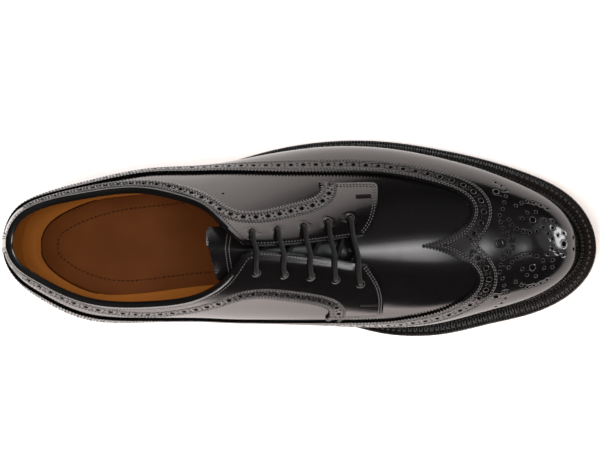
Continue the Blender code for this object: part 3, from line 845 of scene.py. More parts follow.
@dataclass
class Leather:
    """A cut layer of leather between two heights above the last."""

    name: str
    outline: np.ndarray
    inner: float
    outer: float
    holes: list[tuple[np.ndarray, Punch]] = field(default_factory=list)
    spacing: float = 2.2 * MM
    edge: np.ndarray | None = None
    sag: Surface | None = None
    lean: dict[Side, float] = field(default_factory=lambda: {Side.OUTER: 0.0, Side.INNER: 0.0})
    flattened: np.ndarray | None = None
    peak_lean: float = 0.0

    def sheen(self, flat: np.ndarray) -> np.ndarray:
        """Outward directions for the corners: the last's own, leaned as the piece asks.

        The wing's peak leans straight ahead, less with each step away from it.  Along a flattened
        line the direction turns to a fixed one, weighted by a bell across the line.

        Args:
            flat: Surface numbers.

        Returns:
            Directions of length one.
        """
        normal = LAST.leaning_normal(flat, self.lean)
        on_peak = 1 - smoothstep((share_of(flat[:, 0]) - PEAK_SHARE) / PEAK_FADE)
        on_peak = on_peak * (1 - smoothstep(np.abs(flat[:, 1]) / PEAK_GIRTH))
        normal = unit(normal + self.peak_lean * on_peak[:, None] * np.array((1.0, 0.0, 0.0)))
        if self.flattened is None:
            return normal
        line = LAST.point(LAST.spread(self.flattened, LINE_STEP))
        across = (nearest(LAST.point(flat), line)[0] - FLAT_INSET) / FLAT_WIDTH
        weight = FLAT_WEIGHT * np.exp(-across ** 2)[:, None]
        return unit(normal * (1 - weight) + weight * unit(np.array(FLAT_FACING)))

    def build(self) -> bpy.types.Mesh:
        """Cut the layer, close it with walls and give its corners smooth directions.

        Points where the surface meets itself, at the back seam and the toe tip, become one.

        Returns:
            The mesh, with the distances to the cut edge and to the nearest hole stored.
        """
        patch = cut_patch(self.outline, self.holes, self.spacing)
        drop = self.sag(patch.flat) if self.sag else np.zeros(len(patch.flat))
        top = LAST.layer(patch.flat, self.outer + drop)
        low = LAST.layer(patch.flat, self.inner + drop)
        normal = self.sheen(patch.flat)
        _, kept, same = np.unique(np.round(top / WELD).astype(int), axis=0,
                                  return_index=True, return_inverse=True)
        triangles = kept[same.ravel()][patch.triangles]
        distinct = ((triangles[:, 0] != triangles[:, 1]) & (triangles[:, 1] != triangles[:, 2])
                    & (triangles[:, 2] != triangles[:, 0]))
        used, triangles = np.unique(triangles[distinct], return_inverse=True)
        triangles = triangles.reshape(-1, 3)
        flat, top, low, normal = patch.flat[used], top[used], low[used], normal[used]
        count = len(used)
        facing = np.cross(top[triangles[:, 1]] - top[triangles[:, 0]],
                          top[triangles[:, 2]] - top[triangles[:, 0]])
        turned = (facing * normal[triangles[:, 0]]).sum(-1) < 0
        triangles[turned] = triangles[turned][:, ::-1]
        sides = np.concatenate([triangles[:, [k, (k + 1) % 3]] for k in range(3)])
        border = sides[~np.isin(sides[:, 1] * count + sides[:, 0], sides[:, 0] * count + sides[:, 1])]
        walls = np.stack((border[:, 1], border[:, 0], border[:, 0] + count, border[:, 1] + count), -1)
        mesh = new_mesh(self.name, np.concatenate((top, low)),
                        [triangles, triangles[:, ::-1] + count, walls])
        smooth = np.repeat([True, False], [2 * len(triangles), len(walls)])
        mesh.polygons.foreach_set("use_smooth", smooth)
        corners = np.concatenate((normal[triangles].reshape(-1, 3),
                                  -normal[triangles[:, ::-1]].reshape(-1, 3),
                                  np.zeros((4 * len(walls), 3))))
        mesh.normals_split_custom_set(corners.tolist())
        set_attribute(mesh, "hole_gap", np.tile(patch.hole_gap[used], 2))
        gap = np.full(count, 1.0)
        if self.edge is not None:
            line = LAST.point(LAST.spread(self.edge, LINE_STEP))
            gap = nearest(LAST.point(flat), line)[0] / MM
        set_attribute(mesh, "edge_gap", np.tile(gap, 2))
        return mesh


class Graph:
    """A small helper that adds and links the nodes of a material or group."""

    def __init__(self, tree: bpy.types.NodeTree) -> None:
        """Work on a node tree."""
        self.tree = tree

    def add(self, kind: str, inputs: dict | None = None, **settings: object) -> bpy.types.Node:
        """Add a node.

        Args:
            kind: Blender's type name, without the leading ShaderNode.
            inputs: For each input's name or number, its value or the socket that feeds it.
            settings: Values for the node's own properties.

        Returns:
            The node.
        """
        node = self.tree.nodes.new("ShaderNode" + kind)
        for name, value in settings.items():
            setattr(node, name, value)
        for name, value in (inputs or {}).items():
            if isinstance(value, bpy.types.NodeSocket):
                self.tree.links.new(value, node.inputs[name])
            else:
                node.inputs[name].default_value = value
        return node

    def math(self, operation: str, first: object, second: object = 0.0) -> bpy.types.NodeSocket:
        """Combine two numbers."""
        return self.add("Math", {0: first, 1: second}, operation=operation).outputs[0]

    def ramp(self, factor: bpy.types.NodeSocket, stops: list[tuple[float, float]],
             interpolation: str = "EASE") -> bpy.types.NodeSocket:
        """Turn a number into another by a row of stops.

        Args:
            factor: The number.
            stops: Each stop's place and value.
            interpolation: How the ramp runs between stops.

        Returns:
            The socket of the new number.
        """
        node = self.add("ValToRGB", {"Fac": factor})
        node.color_ramp.interpolation = interpolation
        elements = node.color_ramp.elements
        while len(elements) < len(stops):
            elements.new(1.0)
        for element, (place, value) in zip(elements, sorted(stops)):
            element.position = place
            element.color = (value, value, value, 1.0)
        return node.outputs["Color"]

    def mix(self, factor: object, first: object, second: object) -> bpy.types.NodeSocket:
        """Blend two colours."""
        node = self.add("Mix", data_type="RGBA")
        sockets = (node.inputs[0], node.inputs[6], node.inputs[7])
        for socket, value in zip(sockets, (factor, first, second)):
            if isinstance(value, bpy.types.NodeSocket):
                self.tree.links.new(value, socket)
            else:
                socket.default_value = value if socket is node.inputs[0] else (*value, 1.0)
        return node.outputs[2]

    def bump(self, height: bpy.types.NodeSocket, depth: float,
             below: bpy.types.Node | None = None) -> bpy.types.Node:
        """Add a relief of a depth, over another if one is given."""
        node = self.add("Bump", {"Height": height, "Strength": 1.0, "Distance": depth})
        if below:
            self.tree.links.new(below.outputs["Normal"], node.inputs["Normal"])
        return node

    def dress(self, colour: bpy.types.NodeSocket, rough: bpy.types.NodeSocket,
              bump: bpy.types.Node) -> bpy.types.Node:
        """Feed the material's shader, and return it for the values on its own sockets."""
        shader = self.tree.nodes["Principled BSDF"]
        self.tree.links.new(colour, shader.inputs["Base Color"])
        self.tree.links.new(rough, shader.inputs["Roughness"])
        self.tree.links.new(bump.outputs["Normal"], shader.inputs["Normal"])
        return shader


def new_material(name: str) -> tuple[bpy.types.Material, Graph]:
    """Start a material, and return it with its graph."""
    made = bpy.data.materials.new(name)
    made.use_nodes = True
    return made, Graph(made.node_tree)


def new_group(name: str, inputs: dict[str, float],
              outputs: tuple[str, ...]) -> tuple[bpy.types.NodeTree, Graph, dict]:
    """Start a node group with number sockets.

    Args:
        name: The group's name.
        inputs: Each input and its usual value.
        outputs: The outputs' names.

    Returns:
        The group, its graph, and its inputs' sockets by name.
    """
    group = bpy.data.node_groups.new(name, "ShaderNodeTree")
    for socket, value in inputs.items():
        made = group.interface.new_socket(socket, in_out="INPUT", socket_type="NodeSocketFloat")
        made.default_value = value
    for socket in outputs:
        group.interface.new_socket(socket, in_out="OUTPUT", socket_type="NodeSocketFloat")
    source = group.nodes.new("NodeGroupInput")
    return group, Graph(group), {socket.name: socket for socket in source.outputs}


def close_group(group: bpy.types.NodeTree, **made: bpy.types.NodeSocket) -> bpy.types.NodeTree:
    """Link a node group's outputs by their names, and return the group."""
    end = group.nodes.new("NodeGroupOutput")
    for name, socket in made.items():
        group.links.new(socket, end.inputs[name])
    return group


def grain_group() -> bpy.types.NodeTree:
    """Leather grain: fine pores between soft pebbles, and slow changes of tone.

    Height is the pebbles' roundness with the pores pressed in, Fine is the pores' noise alone, and
    Tone is a slow noise.

    Returns:
        The node group.
    """
    group, graph, given = new_group("leather_grain", {"Scale": 1500.0, "Pores": 0.5},
                                    ("Height", "Tone", "Fine"))
    place = graph.add("TexCoord").outputs["Object"]
    pebble = graph.add("TexVoronoi", {"Vector": place, "Scale": given["Scale"], "Randomness": 0.9},
                       feature="SMOOTH_F1")
    fine = graph.add("TexNoise", {"Vector": place, "Scale": graph.math("MULTIPLY", given["Scale"], 0.35),
                                  "Detail": 3.0})
    slow = graph.add("TexNoise", {"Vector": place, "Scale": 38.0, "Detail": 3.0})
    pebbles = graph.math("MULTIPLY", pebble.outputs["Distance"], given["Pores"])
    height = graph.math("SUBTRACT", fine.outputs["Fac"], pebbles)
    return close_group(group, Height=height, Tone=slow.outputs["Fac"], Fine=fine.outputs["Fac"])


def dust_group() -> bpy.types.NodeTree:
    """Faint dust in specks, broken by a noise."""
    group, graph, given = new_group("dust", {"Amount": 0.1}, ("Mask",))
    place = graph.add("TexCoord").outputs["Object"]
    noise = graph.add("TexNoise", {"Vector": place, "Scale": 420.0, "Detail": 5.0})
    specks = graph.ramp(noise.outputs["Fac"], [(0.0, 0.0), (0.62, 0.0), (0.74, 1.0), (1.0, 1.0)])
    return close_group(group, Mask=graph.math("MULTIPLY", specks, given["Amount"]))


# Relief of the seams' grooves, and of a hole's edge and the ring round it: place and height.
GROOVE_DEPTH = 0.70 * MM
HOLE_DEPTH = 0.30 * MM
HOLE_STOPS = [(0.0, 0.25), (0.22, 1.0), (0.5, 0.30), (0.85, 0.62), (1.0, 0.62)]
DUST = (0.35, 0.33, 0.31)


@dataclass(frozen=True)
class LeatherFinish:
    """A leather: its colours, gloss, grain and the lines pressed along a cut edge."""

    name: str
    colour: Colour
    worn: Colour
    roughness: float
    roughness_spread: float = 0.06
    specular: float = 0.5
    sheen_colour: Colour = (1.0, 1.0, 1.0)
    coat: float = 0.0
    coat_roughness: float = 0.05
    scale: float = 1500.0
    pores: float = 0.5
    depth: float = 0.02 * MM
    dust: float = 0.0
    grooves: tuple[float, ...] = ()
    punched: bool = False
    range_mm: float = 12.0

    def build(self, groups: dict[str, bpy.types.NodeTree]) -> bpy.types.Material:
        """Make the material.

        Args:
            groups: The shared node groups by name.

        Returns:
            The material.
        """
        made, graph = new_material(self.name)
        grain = graph.add("Group", {"Scale": self.scale, "Pores": self.pores},
                          node_tree=groups["grain"])
        colour = graph.mix(grain.outputs["Tone"], self.colour, self.worn)
        swing = graph.math("SUBTRACT", grain.outputs["Tone"], 0.5)
        swing = graph.math("MULTIPLY", swing, 2 * self.roughness_spread)
        rough = graph.math("ADD", swing, self.roughness)
        if self.dust:
            dust = graph.add("Group", {"Amount": self.dust}, node_tree=groups["dust"])
            colour = graph.mix(dust.outputs["Mask"], colour, DUST)
            rough = graph.math("ADD", rough, dust.outputs["Mask"])
        bump = graph.bump(grain.outputs["Height"], self.depth)
        if self.grooves:
            bump = self.pressed(graph, "edge_gap", self.range_mm, self.groove_stops(), GROOVE_DEPTH, bump)
        if self.punched:
            bump = self.pressed(graph, "hole_gap", 1.0, HOLE_STOPS, HOLE_DEPTH, bump)
        shader = graph.dress(colour, rough, bump)
        shader.inputs["Specular IOR Level"].default_value = self.specular
        shader.inputs["Specular Tint"].default_value = (*self.sheen_colour, 1.0)
        shader.inputs["Coat Weight"].default_value = self.coat
        shader.inputs["Coat Roughness"].default_value = self.coat_roughness
        return made

    def groove_stops(self) -> list[tuple[float, float]]:
        """Heights across the band: a rounded cut edge, and a soft groove for each seam row."""
        stops = [(0.0, 0.85), (0.30 / self.range_mm, 1.0)]
        for row in self.grooves:
            stops += [((row - 0.42) / self.range_mm, 1.0), (row / self.range_mm, 0.2),
                      ((row + 0.42) / self.range_mm, 1.0)]
        return stops

    def pressed(self, graph: Graph, attribute: str, span: float, stops: list[tuple[float, float]],
                depth: float, below: bpy.types.Node) -> bpy.types.Node:
        """Add a relief that follows one of the mesh's stored distances.

        Args:
            graph: The material's graph.
            attribute: Name of the stored distance.
            span: Distance at the end of the stops.
            stops: Heights across the span, each a place and a value.
            depth: Depth of the relief.
            below: The relief under it.

        Returns:
            The node of both reliefs.
        """
        gap = graph.add("Attribute", attribute_name=attribute).outputs["Fac"]
        height = graph.ramp(graph.math("DIVIDE", gap, span), stops)
        return graph.bump(height, depth, below)


@dataclass(frozen=True)
class CordFinish:
    """Waxed round cord: two crossing sets of strands laid along its length, with painted shade in the
    grooves between them.
    """

    name: str
    colour: Colour
    # Colour on the strands' crests; the plain colour fills the grooves between them as painted shade.
    high: Colour
    roughness: float
    specular: float = 0.5
    strands: float = 5.0
    turns: float = 520.0
    depth: float = 0.16 * MM

    def build(self, groups: dict[str, bpy.types.NodeTree]) -> bpy.types.Material:
        """Make the material.

        Args:
            groups: The shared node groups by name.

        Returns:
            The material.
        """
        made, graph = new_material(self.name)
        split = graph.add("SeparateXYZ", {0: graph.add("UVMap", uv_map="run").outputs["UV"]})
        along = graph.math("MULTIPLY", split.outputs["X"], self.turns * 2 * math.pi)
        waves = []
        for sign in (1.0, -1.0):
            turned = graph.math("MULTIPLY", split.outputs["Y"], sign * self.strands * 2 * math.pi)
            waves.append(graph.math("SINE", graph.math("ADD", turned, along)))
        weave = graph.math("MULTIPLY", waves[0], waves[1])
        height = graph.math("ADD", graph.math("MULTIPLY", weave, 0.5), 0.5)
        # Painted shade: darker in the grooves between the strands and lighter on their crests, following
        # the weave's height.
        colour = graph.mix(height, self.colour, self.high)
        grain = graph.add("Group", node_tree=groups["grain"])
        rough = graph.math("ADD", graph.math("MULTIPLY", grain.outputs["Fine"], 0.15), self.roughness)
        shader = graph.dress(colour, rough, graph.bump(height, self.depth))
        shader.inputs["Specular IOR Level"].default_value = self.specular
        return made


@dataclass(frozen=True)
class EdgeFinish:
    """Inked and waxed sole leather, stacked in layers, with a brown tint towards the toe."""

    name: str
    colour: Colour
    tint: Colour
    roughness: float
    layer: float = 1.1 * MM
    depth: float = 0.06 * MM
    tint_from: float = 0.17
    tint_to: float = 0.27
    wheel: float = 0.0
    wheel_depth: float = 0.45 * MM

    def build(self, groups: dict[str, bpy.types.NodeTree]) -> bpy.types.Material:
        """Make the material.

        Args:
            groups: The shared node groups by name.

        Returns:
            The material.
        """
        made, graph = new_material(self.name)
        place = graph.add("TexCoord").outputs["Object"]
        split = graph.add("SeparateXYZ", {0: place})
        ahead = graph.add("MapRange", {"Value": split.outputs["X"], 1: self.tint_from, 2: self.tint_to})
        grain = graph.add("Group", {"Scale": 900.0}, node_tree=groups["grain"])
        amount = graph.math("MULTIPLY", ahead.outputs[0], grain.outputs["Tone"])
        colour = graph.mix(amount, self.colour, self.tint)
        layers = graph.add("TexNoise", {"Vector": place, "Scale": 260.0, "Detail": 3.0})
        level = graph.math("MULTIPLY", split.outputs["Z"], 2 * math.pi / self.layer)
        wobble = graph.math("MULTIPLY", layers.outputs["Fac"], 3.0)
        wave = graph.math("SINE", graph.math("ADD", level, wobble))
        height = graph.math("ADD", graph.math("MULTIPLY", wave, 0.4), grain.outputs["Height"])
        rough = graph.math("ADD", graph.math("MULTIPLY", grain.outputs["Tone"], 0.2), self.roughness)
        bump = graph.bump(height, self.depth)
        if self.wheel:
            along = graph.add("Attribute", attribute_name="along").outputs["Fac"]
            turns = graph.math("MULTIPLY", along, 2 * math.pi / self.wheel)
            ridges = graph.math("ABSOLUTE", graph.math("SINE", turns))
            bump = graph.bump(ridges, self.wheel_depth, bump)
        graph.dress(colour, rough, bump)
        return made


# Seams and hole rows, in millimetres in from the edge that they follow.
WING_ROWS = (2.0, 3.0, 9.4, 10.3)
WING_HOLE_ROW = 6.1
FACING_ROWS = (0.9, 1.9, 6.6, 7.5)
FACING_HOLE_ROW = 4.3
TAB_ROWS = (1.1, 2.3)
THROAT_ROWS = (1.3,)
COLLAR_ROWS = (2.6,)

BLACK = (0.0022, 0.0021, 0.0022)
BLACK_WORN = (0.0036, 0.0033, 0.0033)


def finishes() -> dict[str, LeatherFinish | CordFinish | EdgeFinish]:
    """Every finish of the shoe by the name that the pieces use."""
    polished = {"colour": BLACK, "worn": BLACK_WORN, "roughness": 0.155, "roughness_spread": 0.04,
                "sheen_colour": (1.0, 0.91, 0.90), "coat": 0.12, "coat_roughness": 0.04,
                "scale": 1700.0, "depth": 0.006 * MM}
    return {
        "black": LeatherFinish("black_polished_leather", **polished, dust=0.01),
        "wing": LeatherFinish("black_wing_leather", **polished, grooves=WING_ROWS, punched=True),
        "facing": LeatherFinish("black_facing_leather", **polished, grooves=FACING_ROWS, punched=True),
        "rim": LeatherFinish("black_rolled_edge", BLACK, BLACK_WORN, 0.24, coat=0.1, coat_roughness=0.08,
                             depth=0.02 * MM),
        "tongue": LeatherFinish("black_tongue_leather", BLACK, BLACK_WORN, 0.30, coat=0.15,
                                coat_roughness=0.15, scale=1100.0, depth=0.03 * MM),
        "lining": LeatherFinish("tan_lining_leather", (0.26, 0.092, 0.015), (0.20, 0.065, 0.009), 0.60,
                                specular=0.15, scale=1300.0, depth=0.03 * MM),
        "sock": LeatherFinish("tan_sock_leather", (0.104, 0.032, 0.0070), (0.046, 0.012, 0.0022), 0.50,
                              specular=0.06, scale=1200.0, depth=0.03 * MM),
        "tread": LeatherFinish("tan_sole_leather", (0.46, 0.27, 0.135), (0.38, 0.21, 0.10), 0.52,
                               scale=700.0, depth=0.05 * MM, dust=0.15, grooves=(5.5,)),
        "edge": EdgeFinish("black_sole_edge", (0.0030, 0.0026, 0.0025), (0.0075, 0.0045, 0.0036), 0.30),
        "welt": EdgeFinish("black_wheeled_welt", (0.0030, 0.0026, 0.0025), (0.0075, 0.0045, 0.0036), 0.30,
                           wheel=2.9),
        "stack": EdgeFinish("black_stacked_leather", (0.005, 0.004, 0.004), (0.010, 0.007, 0.006), 0.30,
                            layer=4.9 * MM),
        "rubber": LeatherFinish("black_heel_rubber", (0.016, 0.016, 0.016), (0.024, 0.024, 0.024), 0.72,
                                scale=2200.0, depth=0.03 * MM, dust=0.10),
        "thread": CordFinish("black_waxed_thread", (0.036, 0.035, 0.035), (0.120, 0.116, 0.113), 0.24),
        "welt_thread": CordFinish("grey_welt_thread", (0.018, 0.016, 0.015), (0.080, 0.072, 0.066), 0.36),
        "cord": CordFinish("black_waxed_cord", (0.002, 0.002, 0.002), (0.011, 0.0105, 0.0102), 0.48,
                           specular=0.22),
        "tack": CordFinish("black_tack_thread", (0.002, 0.0018, 0.0017), (0.010, 0.008, 0.007), 0.55,
                           specular=0.15),
        "tan_thread": CordFinish("tan_thread", (0.016, 0.006, 0.002), (0.045, 0.017, 0.004), 0.60),
        "nail": LeatherFinish("steel_nail", (0.30, 0.29, 0.27), (0.22, 0.21, 0.20), 0.38),
    }


class Workshop:
    """Places finished pieces on the shoe and reports them."""

    def __init__(self) -> None:
        """Make the shared node groups and every finish."""
        groups = {"grain": grain_group(), "dust": dust_group()}
        self.materials = {key: finish.build(groups) for key, finish in finishes().items()}

    def place(self, mesh: bpy.types.Mesh, finish: str, slot: str, replaces: tuple[str, ...] = (),
              more: tuple[str, ...] = ()) -> bpy.types.Object:
        """Put a mesh into the scene as a piece of the shoe.

        Args:
            mesh: The piece's mesh, whose name the piece takes.
            finish: Key of its finish.
            slot: Not used.
            replaces: Solids that the piece stands for.
            more: Further finishes, for faces with a higher material number.

        Returns:
            The piece.
        """
        piece = bpy.data.objects.new(mesh.name, mesh)
        for key in (finish, *more):
            mesh.materials.append(self.materials[key])
        bpy.context.scene.collection.objects.link(piece)
        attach(piece, "root")
        if replaces:
            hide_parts(*replaces)
        LOG.info("%s: %d faces", mesh.name, len(mesh.polygons))
        return piece


# Points round a stitch, rings along it, and points of a whole stitch.
STITCH_RING, STITCH_STATIONS, STITCH_SIZE = 5, 4, 20


@dataclass(frozen=True)
class Stitch:
    """A stitch's sizes: a low rounded bar with sunk ends."""

    length: float = 1.20 * MM
    width: float = 0.58 * MM
    rise: float = 0.34 * MM
    pitch: float = 1.70 * MM

    def lay(self, points: np.ndarray, run: np.ndarray, normal: np.ndarray) -> Shape:
        """Lay a stitch at each point.

        A stitch is a ring of five points carried along four stations; its radius is full between
        the middle stations and shrinks at the ends, which dip below the surface.

        Args:
            points: Middle of each stitch.
            run: Direction of each stitch.
            normal: Outward direction at each stitch.

        Returns:
            Points and faces of all the stitches.
        """
        station = np.array((-0.5, -0.27, 0.27, 0.5)) * self.length
        full = np.array((0.30, 1.0, 1.0, 0.30))
        sink = np.array((-0.55, 0.0, 0.0, -0.55)) * self.rise
        angles = np.radians((0.0, 60.0, 120.0, 180.0, 270.0))
        side = unit(np.cross(normal, run))
        across = np.cos(angles)[None, :] * full[:, None] * self.width / 2
        up = np.sin(angles)[None, :] * full[:, None] * self.rise + sink[:, None]
        ahead = np.repeat(station[:, None], STITCH_RING, axis=1)
        template = np.stack((ahead, across, up), -1).reshape(-1, 3)
        axes = np.stack((unit(run), side, normal), 1)
        placed = points[:, None, :] + template @ axes
        ring = np.arange(STITCH_RING)
        after = (ring + 1) % STITCH_RING
        quads = np.stack((ring, after, after + STITCH_RING, ring + STITCH_RING), -1)
        quads = np.concatenate([quads + STITCH_RING * k for k in range(STITCH_STATIONS - 1)])
        caps = np.stack((ring[::-1], ring + STITCH_SIZE - STITCH_RING))
        shift = STITCH_SIZE * np.arange(len(points))[:, None, None]
        faces = [(some[None] + shift).reshape(-1, some.shape[1]) for some in (quads, caps)]
        return placed.reshape(-1, 3), faces


def join_parts(parts: list[Shape]) -> Shape:
    """Join several sets of points and faces into one."""
    starts = np.concatenate(([0], np.cumsum([len(points) for points, _ in parts])[:-1]))
    faces = [face + start for (_, some), start in zip(parts, starts) for face in some]
    return np.concatenate([points for points, _ in parts]), faces


def seam(path: np.ndarray, height: float, stitch: Stitch, sag: Surface | None = None) -> Shape:
    """Lay stitches along a line of the last.

    Args:
        path: Surface numbers of the line.
        height: Height of the stitches above the last.
        stitch: The stitch's sizes.
        sag: Lowers the leather there, if anything does.

    Returns:
        Points and faces of all the stitches.
    """
    spots = LAST.spread(path, stitch.pitch, ends=False)
    drop = sag(spots) if sag else 0.0
    points = LAST.layer(spots, height + drop)
    run = unit(np.gradient(points, axis=0)) if len(points) > 1 else unit(LAST.tangents(spots)[0])
    normal = LAST.sheen_normal(spots)
    return stitch.lay(points, unit(run - (run * normal).sum(-1)[:, None] * normal), normal)


def plan_seam(line: np.ndarray, height: Surface, stitch: Stitch) -> Shape:
    """Lay stitches along a line of the plan.

    Args:
        line: Plan points of the line.
        height: Gives the height at each distance ahead.
        stitch: The stitch's sizes.

    Returns:
        Points and faces of all the stitches.
    """
    run = run_along(line)
    spots = blend_at(np.arange(0, run[-1], stitch.pitch), run, line)
    points = np.column_stack((spots, height(spots[:, 0])))
    direction = unit(np.gradient(points, axis=0))
    normal = unit(np.cross(direction, np.cross((0.0, 0.0, 1.0), direction)))
    return stitch.lay(points, direction, normal)


def stitched_mesh(name: str, parts: list[Shape]) -> bpy.types.Mesh:
    """Join seams into one smooth mesh with a map for the thread's twist."""
    mesh = new_mesh(name, *join_parts(parts))
    mesh.shade_smooth()
    local = corner_points(mesh) % STITCH_SIZE
    last = STITCH_STATIONS - 1
    set_run_map(mesh, (local // STITCH_RING) / last * 1.2 * MM, (local % STITCH_RING) / STITCH_RING)
    return mesh


def hole_rows(row: np.ndarray, pitch: float) -> tuple[np.ndarray, np.ndarray]:
    """Spread a band's holes: large ones at a pitch, with two small ones across between them.

    Args:
        row: Surface numbers of the band's middle.
        pitch: Distance from large hole to large hole.

    Returns:
        Places of the large holes and of the small ones.
    """
    large = LAST.spread(row, pitch, ends=False)
    between = LAST.spread(row, pitch, ends=True)[1:-1]
    run = np.gradient(LAST.point(between), axis=0)
    across = unit(np.cross(run, LAST.normal(between)))
    small = np.concatenate([LAST.nudge(between, sign * 1.05 * MM * across) for sign in (1, -1)])
    return large, small


def sew(shop: Workshop, name: str, parts: list[Shape], finish: str = "thread",
        slot: str = "black_leather") -> None:
    """Place a set of seams as one piece."""
    shop.place(stitched_mesh(name, parts), finish, slot)


@dataclass(frozen=True)
class Uppers:
    """Vamp, quarters, wing, facings, strap and lining, all cut from the last's surface."""

    wall: float = 2.2 * MM
    skin: float = 1.5 * MM
    gap: float = 0.3 * MM
    panel: float = 1.2 * MM
    tooth: float = 1.75 * MM
    tooth_depth: float = 1.75 * MM
    hole_pitch: float = 6.5 * MM
    stitch: Stitch = Stitch()

    @property
    def face(self) -> float:
        """Height of the panels' outer face above the last."""
        return self.gap + self.panel

    def opening_outline(self, drop: float = 0.0) -> np.ndarray:
        """Outline of the whole upper, open at the collar and throat, lowered there by drop."""
        outer, inner = opening_edge(Side.OUTER), opening_edge(Side.INNER)
        foot = THROAT_END
        if drop:
            outer, inner = LAST.inset(outer, drop), LAST.inset(inner, -drop)
            foot += 0.035
        end = spot(foot, (outer[-1, 1] + inner[-1, 1]) / 2)
        return np.concatenate((CORNERS, inner, [end], outer[::-1]))

    def eyelet_holes(self) -> list[tuple[np.ndarray, Punch]]:
        """The eyelets of both sides."""
        return [(np.concatenate([eyelet_places(side) for side in Side]), EYELET_PUNCH)]

    def wing_edge(self, side: Side) -> np.ndarray:
        """The wing's edge on one side, from the back seam to its peak."""
        rows = WING_OUT if side is Side.OUTER else WING_IN
        path = smooth_path(rows, fineness=8)
        path[0, 0] = 0.0
        return on_side(path, side)

    def wing_row(self, side: Side, distance: float) -> np.ndarray:
        """A line at a distance inside the wing's edge, up to where it meets the other side's."""
        row = LAST.inset(self.wing_edge(side), side.value * distance)
        crossed = np.nonzero(row[:, 1] * side.value <= 0)[0]
        return row[:crossed[0]] if len(crossed) else row

    def motif(self) -> list[tuple[np.ndarray, Punch]]:
        """The toe's punched motif, one half charted and the other mirrored."""
        heart = np.array(MOTIF_HEART)
        both = np.array(((1, 1), (1, -1)))[:, None, :]
        curls = (both * np.array(MOTIF_CURLS)).reshape(-1, 2)
        ringed = np.concatenate(((both * np.array(MOTIF_RINGED)).reshape(-1, 2), np.array(MOTIF_CENTRE)))
        tip = np.array([spot(*row) for row in MOTIF_TIP])
        return [(np.concatenate((LAST.under(heart + curls * MM), tip)), MEDIUM_PUNCH),
                (LAST.under(heart + ringed * MM), RING_PUNCH)]

    def wing(self, shop: Workshop) -> None:
        """Make the wing panel with its pinked edge, punched band and motif, and its seams."""
        edges = {side: self.wing_edge(side) for side in Side}
        outer, inner = (pinked(edges[side], self.tooth, self.tooth_depth) for side in Side)
        outline = np.concatenate((CORNERS, inner, outer[-2::-1]))
        rows = [hole_rows(self.wing_row(side, WING_HOLE_ROW * MM), self.hole_pitch) for side in Side]
        large, small = (np.concatenate(some) for some in zip(*rows))
        # Holes that would overlap on the peak or run into the back seam are left out.
        large = large[np.abs(LAST.point(large)[:, 1]) > 2.4 * MM]
        small = small[np.abs(LAST.point(small)[:, 1]) > 1.4 * MM]
        small = small[nearest(LAST.point(small), LAST.point(large))[0] > 2.5 * MM]
        large, small = (some[LAST.point(some)[:, 0] > LAST.back_x + 3 * MM] for some in (large, small))
        holes = [(large, LARGE_PUNCH), (small, SMALL_PUNCH), *self.motif()]
        line = np.concatenate((edges[Side.OUTER], edges[Side.INNER][::-1]))
        mesh = Leather("wing_panel", outline, self.gap, self.face, holes, edge=line,
                       lean={Side.OUTER: -0.07, Side.INNER: -0.10}, peak_lean=0.15).build()
        shop.place(mesh, "wing", "black_leather", ("wing",))
        parts = [seam(self.wing_row(side, row * MM), self.face, self.stitch)
                 for side in Side for row in WING_ROWS]
        sew(shop, "wing_stitching", parts)

    def facing(self, shop: Workshop, side: Side, name: str) -> None:
        """Make one facing: throat edge, tab and the punched band along the collar.

        Args:
            shop: Takes the finished pieces.
            side: The facing's side.
            name: Name of its solid, which its pieces' names start with.
        """
        outer = side is Side.OUTER
        start = float(place_of(0.0020))
        top = opening_edge(side)
        top = top[top[:, 0] > start]
        tab = on_side(smooth_path(TAB_OUT if outer else TAB_IN, fineness=8), side)
        band = on_side(smooth_path(BAND_OUT if outer else BAND_IN, fineness=8), side)
        teeth = pinked(band, self.tooth, self.tooth_depth)
        outline = np.concatenate((top, tab, teeth[1:], [(start, band[-1, 1]), (start, top[0, 1])]))
        large, small = hole_rows(LAST.inset(band, side.value * FACING_HOLE_ROW * MM), self.hole_pitch)
        large = large[LAST.point(large)[:, 0] > LAST.back_x + 5 * MM]
        holes = [(large, LARGE_PUNCH), (small, SMALL_PUNCH), (eyelet_places(side), EYELET_PUNCH)]
        throat = top[share_of(top[:, 0]) > THROAT_TOP + 0.01]
        collar = top[share_of(top[:, 0]) < THROAT_TOP + 0.02]
        panel = Leather(name + "_panel", outline, self.gap, self.face, holes, edge=band,
                        lean={Side.OUTER: 0.24, Side.INNER: -0.20},
                        flattened=None if outer else throat)
        shop.place(panel.build(), "facing", "black_leather", (name,))
        rows = ((band, FACING_ROWS), (tab, TAB_ROWS), (throat, THROAT_ROWS), (collar, COLLAR_ROWS))
        parts = [seam(LAST.inset(line, side.value * row * MM), self.face, self.stitch)
                 for line, insets in rows for row in insets]
        sew(shop, name + "_stitching", parts)
        sew(shop, name + "_tack", [self.bar_tack(side)], "tack")
        bead = LAST.layer(LAST.spread(throat, 1.2 * MM)[:-1], self.face - 0.15 * MM)
        shop.place(round_cord(name + "_bead", bead, 0.50 * MM, 10), "rim", "black_leather")

    def bar_tack(self, side: Side) -> Shape:
        """A short tack of close stitches across the tab's front edge."""
        ends = TACK_OUT if side is Side.OUTER else TACK_IN
        line = on_side(np.array([spot(*end) for end in ends]), side)
        spots = LAST.spread(line, 0.34 * MM, ends=False)
        points = LAST.layer(spots, self.face + 0.12 * MM)
        normal = LAST.sheen_normal(spots)
        run = unit(np.cross(normal, np.gradient(points, axis=0)))
        return Stitch(2.6 * MM, 0.44 * MM, 0.34 * MM).lay(points, run, normal)

